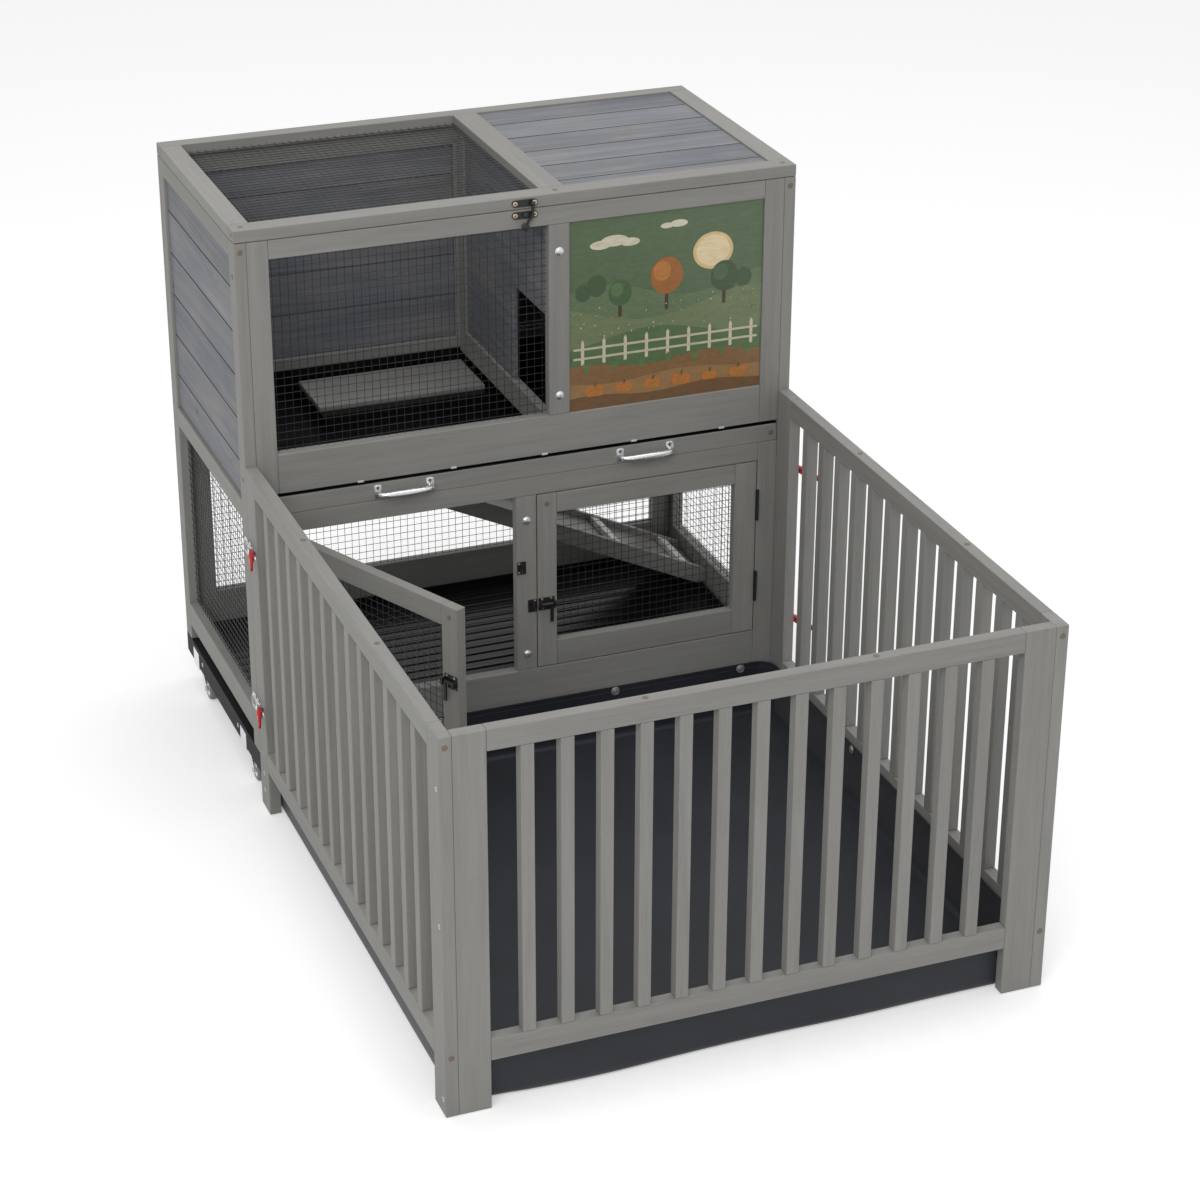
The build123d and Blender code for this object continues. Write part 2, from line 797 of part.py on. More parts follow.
# Lid hinges: three knuckles each, the middle one on the lid
hinge_axis_y = back_y + fit_gap + hinge_knuckle_radius
knuckle_length = (lid_hinge_length - 2 * fit_gap) / 3
leaf_reach = hinge_knuckle_radius + fit_gap
tab_low = hinge_knuckle_radius * 0.35
with BuildPart() as lid_hardware:
    for x in (-lid_hinge_x, lid_hinge_x):
        with BuildSketch(facing_front(back_y + hinge_leaf_thickness)):
            rectangles([
                (
                    x - lid_hinge_length / 2,
                    x + lid_hinge_length / 2,
                    hinge_z + leaf_reach,
                    hinge_z + leaf_reach + lid_leaf_height,
                ),
                (
                    x - knuckle_length / 2,
                    x + knuckle_length / 2,
                    hinge_z + tab_low,
                    hinge_z + leaf_reach,
                ),
            ])
        extrude(amount=hinge_leaf_thickness)
        with BuildSketch(facing_side(x - knuckle_length / 2)):
            with Locations((hinge_axis_y, hinge_z)):
                Circle(hinge_knuckle_radius)
        extrude(amount=knuckle_length)
        with BuildSketch(facing_side(x - knuckle_length / 2)):
            with Locations((hinge_axis_y, hinge_z)):
                Circle(hinge_pin_radius + hinge_bore_gap)
        extrude(amount=knuckle_length, mode=Mode.SUBTRACT)
    # Plate that carries the hook, on the lid's front edge
    plate_z = lid_bottom + lid_thickness / 2
    with BuildSketch(facing_front(front_y)):
        with Locations((latch_x, plate_z)):
            SlotOverall(latch_plate_length, latch_plate_height)
    extrude(amount=latch_plate_thickness)
    hook_back = front_y - latch_plate_thickness - catch_boss_height - 3 * fit_gap
    with BuildSketch(facing_front(front_y - latch_plate_thickness)):
        with Locations((hook_x, plate_z)):
            Circle(hinge_pin_radius)
    extrude(amount=front_y - latch_plate_thickness - hook_back + hook_thickness + fit_gap)
    pin_end = hook_back - hook_thickness - fit_gap
    with BuildSketch(facing_front(pin_end)):
        with Locations((hook_x, plate_z)):
            Circle(hook_arm_width / 2)
    extrude(amount=hinge_leaf_thickness)
lid_hardware.part.label = "lid_hardware"

# Hook: a flat arm that hangs past the catch plate's boss and ends in a knob
with BuildPart() as lid_hook:
    knob_z = plate_z - hook_knob_drop
    elbow_z = plate_z - hook_knob_drop / 2
    with BuildSketch(facing_front(hook_back)):
        with BuildLine():
            Polyline(
                (hook_x - hook_arm_width / 2, plate_z),
                (hook_x - hook_arm_width / 2, elbow_z),
                (hook_knob_x - hook_arm_width / 2, knob_z),
                (hook_knob_x + hook_arm_width / 2, knob_z),
                (hook_x + hook_arm_width / 2, elbow_z),
                (hook_x + hook_arm_width / 2, plate_z),
                close=True,
            )
        make_face()
        with Locations((hook_x, plate_z)):
            Circle(hook_arm_width * 0.75)
        with Locations((hook_knob_x, knob_z)):
            Circle(hook_knob_radius)
        with Locations((hook_x, plate_z)):
            Circle(hinge_pin_radius + hinge_bore_gap, mode=Mode.SUBTRACT)
    extrude(amount=hook_thickness)
lid_hook.part.label = "lid_hook"

# Inset doors. The hinge axes stand just in front of the gap beside each hinge stile.
hinge_x = opening_half - door_gap / 2
door_axis_stand = door_knuckle_radius + fit_gap
hinge_y = front_y - door_axis_stand
door_start = door_gap / 2
door_end = hinge_x - centre_stile / 2 - door_gap
door_low = doorway_bottom + door_gap
door_high = doorway_top - door_gap
door_openings = {-1: left_door_opening, 1: 0.0}


def door_plane(side, depth):
    """Plane parallel to a door's face, a depth behind its hinge axis, facing outward."""
    turn = radians(side * door_openings[side])
    return Plane(
        origin=(side * hinge_x - depth * sin(turn), hinge_y + depth * cos(turn), 0),
        x_dir=(cos(turn), sin(turn), 0),
        z_dir=(sin(turn), -cos(turn), 0),
    )


def door_level(side, z):
    """Level plane at z whose sketch runs along a door's width and into its thickness."""
    turn = radians(side * door_openings[side])
    return Plane(
        origin=(side * hinge_x, hinge_y, z),
        x_dir=(cos(turn), sin(turn), 0),
        z_dir=(0, 0, 1),
    )


def door_section(side, reach):
    """Plane square to a door's width, a reach away from its hinge axis."""
    turn = radians(side * door_openings[side])
    return Plane(
        origin=(side * (hinge_x - reach * cos(turn)), hinge_y - side * reach * sin(turn), 0),
        x_dir=(-sin(turn), cos(turn), 0),
        z_dir=(-side * cos(turn), -side * sin(turn), 0),
    )


def across(side, near, far):
    """Turns two distances from the hinge axis into sketch edges."""
    return sorted((-side * near, -side * far))


door_frames = {}
door_meshes = {}
for side in (-1, 1):
    outer_edges = across(side, door_start, door_end)
    hinge_edges = across(side, door_start, door_start + door_hinge_stile)
    free_edges = across(side, door_end - door_free_stile, door_end)
    rail_edges = across(
        side,
        door_start + door_hinge_stile + joint_gap,
        door_end - door_free_stile - joint_gap,
    )
    with BuildPart() as door_frame:
        with BuildSketch(door_plane(side, door_axis_stand + door_thickness)):
            rectangles([
                (*hinge_edges, door_low, door_high),
                (*free_edges, door_low, door_high),
                (*rail_edges, door_low, door_low + door_bottom_rail),
                (*rail_edges, door_high - door_top_rail, door_high),
            ])
        extrude(amount=door_thickness)
    door_frames[side] = door_frame
    mesh_edges = across(side, door_start + door_hinge_stile, door_end - door_free_stile)
    with BuildPart() as door_mesh:
        with BuildSketch(door_plane(side, door_axis_stand + net_recess + net_thickness)):
            net(*mesh_edges, door_low + door_bottom_rail, door_high - door_top_rail, net_pitch)
        extrude(amount=net_thickness)
    door_meshes[side] = door_mesh
door_left_frame = door_frames[-1]
door_right_frame = door_frames[1]
door_left_mesh = door_meshes[-1]
door_right_mesh = door_meshes[1]
door_left_frame.part.label = "door_left_frame"
door_right_frame.part.label = "door_right_frame"
door_left_mesh.part.label = "door_left_mesh"
door_right_mesh.part.label = "door_right_mesh"

# Hardware on each door: the moving hinge leaves and the case of the slide bolt
door_knuckle = (door_hinge_height - 2 * fit_gap) / 3
door_hinge_levels = (door_low + door_hinge_low, door_low + door_hinge_high)
leaf_front = door_axis_stand + fit_gap
leaf_tab = door_knuckle_radius * 0.65
leaf_inner = door_start - door_leaf_thickness
case_end = door_end - bolt_edge_gap
case_start = case_end - bolt_case_length
rod_depth = door_axis_stand - bolt_loop_stand + bolt_loop_height / 2 - bolt_plate_thickness
bolt_rises = {-1: door_low + left_bolt_rise, 1: door_low + right_bolt_rise}
door_fittings = {}
for side in (-1, 1):
    with BuildPart() as door_hardware:
        for level in door_hinge_levels:
            knuckle_low = level + door_knuckle + fit_gap
            with BuildSketch(door_level(side, level)):
                rectangles([(*across(side, leaf_inner, door_start), leaf_front, leaf_front + door_leaf_depth)])
            extrude(amount=door_hinge_height)
            with BuildSketch(door_level(side, knuckle_low)):
                rectangles([(*across(side, leaf_inner, door_start), leaf_tab, leaf_front)])
                Circle(door_knuckle_radius)
                Circle(hinge_pin_radius + hinge_bore_gap, mode=Mode.SUBTRACT)
            extrude(amount=door_knuckle)
        middle = bolt_rises[side]
        with BuildSketch(door_level(side, middle - bolt_case_height / 2)):
            rectangles([(
                *across(side, case_start, case_end),
                door_axis_stand - bolt_plate_thickness,
                door_axis_stand,
            )])
        extrude(amount=bolt_case_height)
        for loop_start in (case_start, case_end - bolt_loop_length):
            with BuildSketch(door_section(side, loop_start)):
                rectangles([(
                    door_axis_stand - bolt_plate_thickness - bolt_loop_stand,
                    door_axis_stand - bolt_plate_thickness,
                    -side * middle - bolt_loop_height / 2,
                    -side * middle + bolt_loop_height / 2,
                )])
                with Locations((rod_depth, -side * middle)):
                    Circle(bolt_rod_radius + bolt_rod_gap, mode=Mode.SUBTRACT)
            extrude(amount=bolt_loop_length)
    door_fittings[side] = door_hardware
door_left_hardware = door_fittings[-1]
door_right_hardware = door_fittings[1]
door_left_hardware.part.label = "door_left_hardware"
door_right_hardware.part.label = "door_right_hardware"

# Bolt rods, drawn back at rest so that their tips end inside the door's edge
rod_start = case_start - bolt_loop_length
rod_end = door_end - 2 * fit_gap
handle_start = case_start + bolt_loop_length + fit_gap
bolt_rods = {}
for side in (-1, 1):
    middle = bolt_rises[side]
    with BuildPart() as bolt_rod:
        with BuildSketch(door_section(side, rod_start)):
            with Locations((rod_depth, -side * middle)):
                Circle(bolt_rod_radius)
        extrude(amount=rod_end - rod_start)
        with BuildSketch(door_level(side, middle - bolt_handle_drop)):
            rectangles([(
                *across(side, handle_start, handle_start + bolt_handle_width),
                rod_depth - bolt_rod_radius,
                rod_depth - bolt_rod_radius + bolt_handle_thickness,
            )])
        extrude(amount=bolt_handle_drop)
    bolt_rods[side] = bolt_rod
bolt_rod_left = bolt_rods[-1]
bolt_rod_right = bolt_rods[1]
bolt_rod_left.part.label = "bolt_rod_left"
bolt_rod_right.part.label = "bolt_rod_right"

# Fixed halves of the lid's and the doors' hinges, with their pins
with BuildPart() as hinge_posts:
    for x in (-lid_hinge_x, lid_hinge_x):
        with BuildSketch(facing_front(back_y + hinge_leaf_thickness)):
            rectangles([(
                x - lid_hinge_length / 2,
                x + lid_hinge_length / 2,
                hinge_z - leaf_reach - lid_leaf_height,
                hinge_z - leaf_reach,
            )])
            for start in (x - lid_hinge_length / 2, x + lid_hinge_length / 2 - knuckle_length):
                rectangles([(start, start + knuckle_length, hinge_z - leaf_reach, hinge_z - tab_low)])
        extrude(amount=hinge_leaf_thickness)
        for start in (x - lid_hinge_length / 2, x + lid_hinge_length / 2 - knuckle_length):
            with BuildSketch(facing_side(start)):
                with Locations((hinge_axis_y, hinge_z)):
                    Circle(hinge_knuckle_radius)
            extrude(amount=knuckle_length)
        with BuildSketch(facing_side(x - lid_hinge_length / 2)):
            with Locations((hinge_axis_y, hinge_z)):
                Circle(hinge_pin_radius)
        extrude(amount=lid_hinge_length)
    for side in (-1, 1):
        jamb_edges = sorted((side * opening_half, side * (opening_half - door_leaf_thickness)))
        for level in door_hinge_levels:
            with BuildSketch(Plane.XY.offset(level)):
                rectangles([(*jamb_edges, hinge_y + leaf_front, hinge_y + leaf_front + door_leaf_depth)])
            extrude(amount=door_hinge_height)
            for low in (level, level + door_hinge_height - door_knuckle):
                with BuildSketch(Plane.XY.offset(low)):
                    rectangles([(*jamb_edges, hinge_y + leaf_tab, hinge_y + leaf_front)])
                    with Locations((side * hinge_x, hinge_y)):
                        Circle(door_knuckle_radius)
                extrude(amount=door_knuckle)
            with BuildSketch(Plane.XY.offset(level)):
                with Locations((side * hinge_x, hinge_y)):
                    Circle(hinge_pin_radius)
            extrude(amount=door_hinge_height)
hinge_posts.part.label = "hinge_posts"

# Catch plate below the lid's hook, and the keepers of the two slide bolts
with BuildPart() as catch_plates:
    with BuildSketch(facing_front(front_y)):
        with Locations((latch_x, plate_z - catch_drop)):
            SlotOverall(latch_plate_length, latch_plate_height)
    extrude(amount=latch_plate_thickness)
    with BuildSketch(facing_front(front_y - latch_plate_thickness)):
        with Locations((catch_boss_x, plate_z - catch_drop)):
            Circle(catch_boss_radius)
    extrude(amount=catch_boss_height)
    for side in (-1, 1):
        middle = bolt_rises[side]
        plate_edge = side * (centre_stile / 2 - fit_gap)
        keeper_edges = sorted((plate_edge, plate_edge - side * keeper_length))
        loop_middle = (keeper_edges[0] + keeper_edges[1]) / 2
        with BuildSketch(facing_front(front_y)):
            rectangles([(
                *keeper_edges,
                middle - bolt_case_height / 2,
                middle + bolt_case_height / 2,
            )])
        extrude(amount=bolt_plate_thickness)
        with BuildSketch(facing_side(loop_middle - bolt_loop_length / 2)):
            rectangles([(
                front_y - bolt_plate_thickness - bolt_loop_stand,
                front_y - bolt_plate_thickness,
                middle - bolt_loop_height / 2,
                middle + bolt_loop_height / 2,
            )])
            with Locations((hinge_y + rod_depth, middle)):
                Circle(bolt_rod_radius + bolt_rod_gap, mode=Mode.SUBTRACT)
        extrude(amount=bolt_loop_length)
catch_plates.part.label = "catch_plates"

# Upper tray: plastic pan with a rimmed hole over the ramp
pan_half = inner_half - tray_body_gap
pan_front = front_inner_y + joint_gap
pan_back = rear_inner_y - tray_body_gap
hatch_back = pan_back - 2 * tray_wall
hatch_front = hatch_back - hatch_depth
with BuildPart() as upper_tray:
    with BuildSketch(Plane.XY.offset(tray_bottom)):
        rectangles([(-pan_half, pan_half, pan_front, pan_back)])
    extrude(amount=tray_rim_height)
    with BuildSketch(Plane.XY.offset(tray_bottom + tray_wall)):
        rectangles([(
            -pan_half + tray_wall,
            pan_half - tray_wall,
            pan_front + tray_wall,
            pan_back - tray_wall,
        )])
    extrude(amount=tray_rim_height, mode=Mode.SUBTRACT)
    with BuildSketch(Plane.XY.offset(tray_bottom)):
        rectangles([(
            hatch_left_x - tray_wall,
            hatch_right_x + tray_wall,
            hatch_front - tray_wall,
            hatch_back + tray_wall,
        )])
    extrude(amount=hatch_rim_height)
    with BuildSketch(Plane.XY.offset(tray_bottom)):
        rectangles([(
            hatch_left_x - tray_wall,
            hatch_right_x + tray_wall,
            hatch_front - tray_wall,
            hatch_front,
        )])
    extrude(amount=hatch_front_rim_height)
    with BuildSketch(Plane.XY.offset(tray_bottom)):
        rectangles([(hatch_left_x, hatch_right_x, hatch_front + hatch_ledge, hatch_back)])
    extrude(amount=hatch_front_rim_height, mode=Mode.SUBTRACT)
    # The ledge in front of the hole is hollow from below.
    with BuildSketch(Plane.XY.offset(tray_bottom)):
        rectangles([(hatch_left_x, hatch_right_x, hatch_front, hatch_front + hatch_ledge - tray_wall)])
    extrude(amount=hatch_rim_height - tray_wall, mode=Mode.SUBTRACT)
upper_tray.part.label = "upper_tray"

# Wood front of the upper tray
with BuildPart() as upper_tray_front:
    with BuildSketch(facing_front(front_inner_y)):
        rectangles([(
            -inner_half + tray_side_gap,
            inner_half - tray_side_gap,
            tray_bottom,
            tray_front_top,
        )])
    extrude(amount=board)
upper_tray_front.part.label = "upper_tray_front"

# Pull handles on the tray's front
handle_z = tray_bottom + tray_front_height / 2
with BuildPart() as tray_handles:
    for centre in (-handle_x, handle_x):
        with BuildSketch(facing_front(front_y)):
            for end in (centre - handle_span / 2, centre + handle_span / 2):
                with Locations((end, handle_z)):
                    RectangleRounded(handle_plate_width, handle_plate_height, handle_plate_width / 3)
        extrude(amount=handle_plate_thickness)
        bar_plane = Plane(
            origin=(centre, front_y - handle_plate_thickness, handle_z),
            x_dir=(1, 0, 0),
            z_dir=(0, -handle_drop, handle_stand),
        )
        reach = hypot(handle_stand, handle_drop)
        with BuildLine(bar_plane) as grip_path:
            FilletPolyline(
                (-handle_span / 2, 0),
                (-handle_span / 2, -handle_leg),
                (-handle_bar_length / 2, -reach + handle_bar_radius),
                (handle_bar_length / 2, -reach + handle_bar_radius),
                (handle_span / 2, -handle_leg),
                (handle_span / 2, 0),
                radius=handle_bend_radius,
            )
        with BuildSketch(Plane(origin=grip_path.line @ 0, z_dir=grip_path.line % 0)):
            Circle(handle_bar_radius)
        sweep(path=grip_path.line)
tray_handles.part.label = "tray_handles"

# Two-board cover over the hole in the upper tray
cover_bottom = tray_bottom + hatch_rim_height + joint_gap
cover_back = hatch_back + tray_wall - joint_gap
cover_half = (hatch_cover_depth - hatch_board_gap) / 2
with BuildPart() as hatch_cover:
    with BuildSketch(Plane.XY.offset(cover_bottom)):
        for board_edge in (cover_back, cover_back - cover_half - hatch_board_gap):
            rectangles([(
                hatch_left_x - hatch_cover_overhang,
                hatch_right_x + hatch_cover_overhang,
                board_edge - cover_half,
                board_edge,
            )])
    extrude(amount=hatch_cover_thickness)
hatch_cover.part.label = "hatch_cover"

# Lower tray, pulled out through the slot in the left side frame
slot_front = front_y + side_stile + lower_tray_side_gap
slot_back = back_y - side_stile - lower_tray_side_gap
lower_front_x = -half_width + lower_tray_recess
lower_pan_x = lower_front_x + lower_tray_front_thickness + joint_gap
lower_pan_end = inner_half - lower_tray_end_gap
lower_rim = slot_top - lower_tray_side_gap
with BuildPart() as lower_tray:
    with BuildSketch(Plane.XY.offset(lower_tray_bottom)):
        rectangles([(lower_pan_x, lower_pan_end, slot_front, slot_back)])
    extrude(amount=lower_rim - lower_tray_bottom)
    with BuildSketch(Plane.XY.offset(lower_tray_bottom + lower_tray_floor_rise)):
        rectangles([(
            lower_pan_x + tray_wall,
            lower_pan_end - tray_wall,
            slot_front + tray_wall,
            slot_back - tray_wall,
        )])
    extrude(amount=lower_rim - lower_tray_bottom, mode=Mode.SUBTRACT)
    with BuildSketch(Plane.XY.offset(lower_tray_bottom)):
        rectangles([(
            lower_pan_x + tray_wall,
            lower_pan_end - tray_wall,
            slot_front + tray_wall,
            slot_back - tray_wall,
        )])
    extrude(amount=lower_tray_floor_rise - tray_wall, mode=Mode.SUBTRACT)
lower_tray.part.label = "lower_tray"

with BuildPart() as lower_tray_front:
    with BuildSketch(facing_side(lower_front_x)):
        rectangles([(slot_front, slot_back, lower_tray_bottom, lower_rim)])
    extrude(amount=lower_tray_front_thickness)
lower_tray_front.part.label = "lower_tray_front"

# Run: three slatted panels
fence_back_y = front_y - run_gap
top_rail_z = fence_height - fence_top_rail
low_rail_top = fence_bottom_rail_height + fence_bottom_rail
side_span = (run_front_y + fence_post, fence_back_y - fence_post)
side_pitch = (side_span[1] - side_span[0]) / (slat_count + 1)


def fence_members(low_edge, high_edge, low_inner, high_inner, pitch):
    """Fills the open sketch with two posts, two rails and the slats of a panel."""
    rectangles([
        (low_edge, low_inner, 0, fence_height),
        (high_inner, high_edge, 0, fence_height),
        (low_inner + joint_gap, high_inner - joint_gap, top_rail_z, fence_height),
        (low_inner + joint_gap, high_inner - joint_gap, fence_bottom_rail_height, low_rail_top),
    ])
    for slat in range(1, slat_count + 1):
        middle = low_inner + slat * pitch
        rectangles([(
            middle - slat_width / 2,
            middle + slat_width / 2,
            low_rail_top + joint_gap,
            top_rail_z - joint_gap,
        )])


with BuildPart() as fence_left:
    with BuildSketch(facing_side(-half_width)):
        fence_members(run_front_y, fence_back_y, side_span[0], side_span[1], side_pitch)
    extrude(amount=board)
fence_left.part.label = "fence_left"

with BuildPart() as fence_right:
    with BuildSketch(facing_side(inner_half)):
        fence_members(run_front_y, fence_back_y, side_span[0], side_span[1], side_pitch)
    extrude(amount=board)
fence_right.part.label = "fence_right"

front_post_inner = frame_span - fence_post
front_pitch = 2 * front_post_inner / (slat_count + 1)
with BuildPart() as fence_front:
    with BuildSketch(facing_front(run_front_y + board)):
        fence_members(-frame_span, frame_span, -front_post_inner, front_post_inner, front_pitch)
    extrude(amount=board)
fence_front.part.label = "fence_front"

# Fabric floor mat with low walls, inside the run
mat_half = inner_half - mat_gap
mat_front = run_front_y + board + mat_gap
mat_back = front_y - mat_gap
mat_middle = (mat_front + mat_back) / 2
mat_depth = mat_back - mat_front
with BuildPart() as play_mat:
    with BuildSketch(Plane.XY):
        with Locations((0, mat_middle)):
            RectangleRounded(2 * mat_half, mat_depth, mat_corner_radius)
    extrude(amount=mat_height)
    with BuildSketch(Plane.XY.offset(mat_floor)):
        with Locations((0, mat_middle)):
            RectangleRounded(
                2 * (mat_half - mat_wall),
                mat_depth - 2 * mat_wall,
                mat_corner_radius - mat_wall,
            )
    extrude(amount=mat_height, mode=Mode.SUBTRACT)
play_mat.part.label = "play_mat"

# Toggle latches that hold the run to the hutch, two on each side
toggle_spots = [
    (side, level) for side in (-1, 1) for level in (toggle_low_height, toggle_high_height)
]
pivot_y = front_y + toggle_pivot_y
throw_y = pivot_y - toggle_throw
bar_y = front_y + bail_reach
ear_inner = toggle_plate_height / 2 - toggle_ear_thickness
with BuildPart() as toggle_bases:
    for side, level in toggle_spots:
        face = side * half_width
        plate_edges = sorted((face, face + side * toggle_plate_thickness))
        ear_edges = sorted((face, face + side * toggle_ear_stand))
        half_plate = toggle_plate_height / 2
        with BuildSketch(Plane.XY.offset(level - half_plate)):
            base_end = front_y - toggle_base_inset
            catch_end = front_y + toggle_catch_inset
            rectangles([
                (*plate_edges, base_end - toggle_base_length, base_end),
                (*plate_edges, catch_end, catch_end + toggle_catch_length),
            ])
        extrude(amount=toggle_plate_height)
        for ear_low in (level - half_plate, level + ear_inner):
            with BuildSketch(Plane.XY.offset(ear_low)):
                rectangles([(*ear_edges, pivot_y - toggle_ear_length / 2, pivot_y + toggle_ear_length / 2)])
            extrude(amount=toggle_ear_thickness)
        with BuildSketch(Plane.XY.offset(level - half_plate)):
            with Locations((face + side * toggle_pivot_stand, pivot_y)):
                Circle(toggle_pivot_radius)
        extrude(amount=toggle_plate_height)
        upstand_edges = sorted((
            face + side * toggle_plate_thickness / 2,
            face + side * (toggle_plate_thickness + catch_upstand_height),
        ))
        upstand_back = bar_y - bail_wire / 2 - catch_bar_gap
        with BuildSketch(Plane.XY.offset(level - ear_inner)):
            rectangles([(*upstand_edges, upstand_back - catch_upstand_thickness, upstand_back)])
        extrude(amount=2 * ear_inner)
toggle_bases.part.label = "toggle_bases"

toggle_levers = []
toggle_bails = []
grip_start = throw_y - toggle_boss_radius - fit_gap
for number, (side, level) in enumerate(toggle_spots, 1):
    face = side * half_width
    pivot_x = face + side * toggle_pivot_stand
    root = toggle_pivot_stand
    tip = toggle_pivot_stand + toggle_grip_rise
    with BuildPart() as toggle_lever:
        with BuildSketch(Plane.XY.offset(level - toggle_lever_width / 2)):
            with Locations((pivot_x, pivot_y), (pivot_x, throw_y)):
                Circle(toggle_boss_radius)
            rectangles([(
                pivot_x - toggle_boss_radius,
                pivot_x + toggle_boss_radius,
                grip_start - fit_gap,
                pivot_y,
            )])
        extrude(amount=toggle_lever_width)
        with BuildSketch(Plane.XY.offset(level - toggle_grip_width / 2)):
            with BuildLine():
                Polyline(
                    (face + side * (root - toggle_grip_root / 2 + fit_gap), grip_start),
                    (face + side * (root + toggle_grip_root / 2), grip_start),
                    (face + side * (tip + toggle_grip_tip / 2), grip_start - toggle_grip_length),
                    (face + side * (tip - toggle_grip_tip / 2), grip_start - toggle_grip_length),
                    close=True,
                )
            make_face()
        extrude(amount=toggle_grip_width)
        with BuildSketch(Plane.XY.offset(level - toggle_lever_width / 2)):
            with Locations((pivot_x, pivot_y)):
                Circle(toggle_pivot_radius + fit_gap)
            with Locations((pivot_x, throw_y)):
                Circle(bail_wire * 0.71 + bail_bore_gap)
        extrude(amount=toggle_lever_width, mode=Mode.SUBTRACT)
    toggle_lever.part.label = f"toggle_lever_{number}"
    toggle_levers.append(toggle_lever)
    bail_half = toggle_plate_height / 2 + bail_side_gap + bail_wire / 2
    bail_face = sorted((pivot_x - bail_wire / 2, pivot_x + bail_wire / 2))[0]
    with BuildPart() as toggle_bail:
        with BuildSketch(facing_side(bail_face)):
            with Locations(((throw_y + bar_y) / 2, level)):
                Rectangle(bar_y - throw_y + bail_wire, 2 * bail_half + bail_wire)
                Rectangle(bar_y - throw_y - bail_wire, 2 * bail_half - bail_wire, mode=Mode.SUBTRACT)
        extrude(amount=bail_wire)
    toggle_bail.part.label = f"toggle_bail_{number}"
    toggle_bails.append(toggle_bail)

# Dowel plugs, a little proud of the wood
plug_seats = []
for side in (-1, 1):
    stile_x = side * (half_width - board / 2)
    rail_z = frame_top - side_top_rail / 2
    plug_seats.append(facing_front(front_y).shift_origin((stile_x, front_y, rail_z)))
    rail_middle_z = fence_height - fence_top_rail / 2
    low_middle_z = fence_bottom_rail_height + fence_bottom_rail / 2
    plug_seats.append(facing_front(run_front_y).shift_origin((stile_x, run_front_y, rail_middle_z)))
    plug_seats.append(facing_front(run_front_y).shift_origin((stile_x, run_front_y, low_middle_z)))
fence_top_spots = []
for side in (-1, 1):
    stile_x = side * (half_width - board / 2)
    for slat in plug_slats:
        fence_top_spots.append((stile_x, side_span[0] + slat * side_pitch))
for slat in plug_slats:
    fence_top_spots.append((slat * front_pitch - front_post_inner, run_front_y + board / 2))
with BuildPart() as dowel_plugs:
    for seat in plug_seats:
        with BuildSketch(seat):
            Circle(plug_radius)
        extrude(amount=plug_proud)
    with BuildSketch(Plane.XY.offset(fence_height)):
        with Locations(*fence_top_spots):
            Circle(plug_radius)
    extrude(amount=plug_proud)
dowel_plugs.part.label = "dowel_plugs"

# Screws on the run's corner posts and on the base strips
screw_spots = []
for level in corner_screw_levels:
    screw_spots.append((run_front_y + board / 2, level))
for level in joint_screw_levels:
    screw_spots.append((fence_back_y - fence_post / 2, level))
for depth in strip_screw_depths:
    screw_spots.append((front_y + depth, underside_height + base_strip_height / 2))
with BuildPart() as screws:
    for face in (-half_width - screw_proud, half_width):
        with BuildSketch(facing_side(face)):
            with Locations(*screw_spots):
                Circle(screw_radius)
        extrude(amount=screw_proud)
screws.part.label = "screws"

# Domed bolts in the two middle stiles, tacks under the upper rail and snap studs of the mat
dome_seats = [
    (middle_stile_x, window_top - upper_bolt_drop),
    (middle_stile_x, window_bottom + upper_bolt_rise),
    (0.0, doorway_top - lower_bolt_drop),
    (0.0, doorway_bottom + lower_bolt_rise),
]
snap_level = mat_height - snap_radius - snap_edge
snap_planes = []
for x in rear_snap_x:
    snap_planes.append(Plane(origin=(x, mat_back - mat_wall, snap_level), z_dir=(0, -1, 0)))
for side in (-1, 1):
    for back in side_snap_depths:
        snap_planes.append(
            Plane(origin=(side * (mat_half - mat_wall), front_y - back, snap_level), z_dir=(-side, 0, 0))
        )
with BuildPart() as dome_studs:
    for x, z in dome_seats:
        with BuildSketch(facing_front(front_y)):
            with Locations((x, z)):
                Circle(bolt_head_radius)
        extrude(amount=bolt_head_height, taper=35)
    for seat in snap_planes:
        with BuildSketch(seat):
            Circle(snap_radius)
        extrude(amount=snap_height, taper=35)
    tack_start = -tack_pitch * (tack_count - 1) / 2
    with BuildSketch(facing_front(front_y)):
        for tack in range(tack_count):
            middle = tack_start + tack * tack_pitch + tack_shift
            low = upper_front_z + plug_proud
            rectangles([(middle - tack_length / 2, middle + tack_length / 2, low, low + tack_height)])
    extrude(amount=tack_proud)
dome_studs.part.label = "dome_studs"

pieces = [
    side_frame_left, side_frame_right, front_frame_upper, front_frame_lower,
    rear_frame, wall_planks, picture_panel, partition, mesh_upper_window, mesh_sides, mesh_rear,
    tray_runners, ramp, base_strips, caster_plates, *caster_forks, *caster_wheels,
    lid_frame, lid_mesh, lid_planks, lid_hardware, lid_hook, hinge_posts, catch_plates,
    door_left_frame, door_left_mesh, door_left_hardware,
    door_right_frame, door_right_mesh, door_right_hardware, bolt_rod_left, bolt_rod_right,
    upper_tray, upper_tray_front, tray_handles, hatch_cover, lower_tray, lower_tray_front,
    fence_left, fence_right, fence_front, play_mat,
    toggle_bases, *toggle_levers, *toggle_bails, dowel_plugs, screws, dome_studs,
]
for piece in pieces:
    export_step(piece.part, f"parts/{piece.part.label}.step")
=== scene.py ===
import json
import math
import random

import bmesh
import bpy
from mathutils import Matrix, Vector


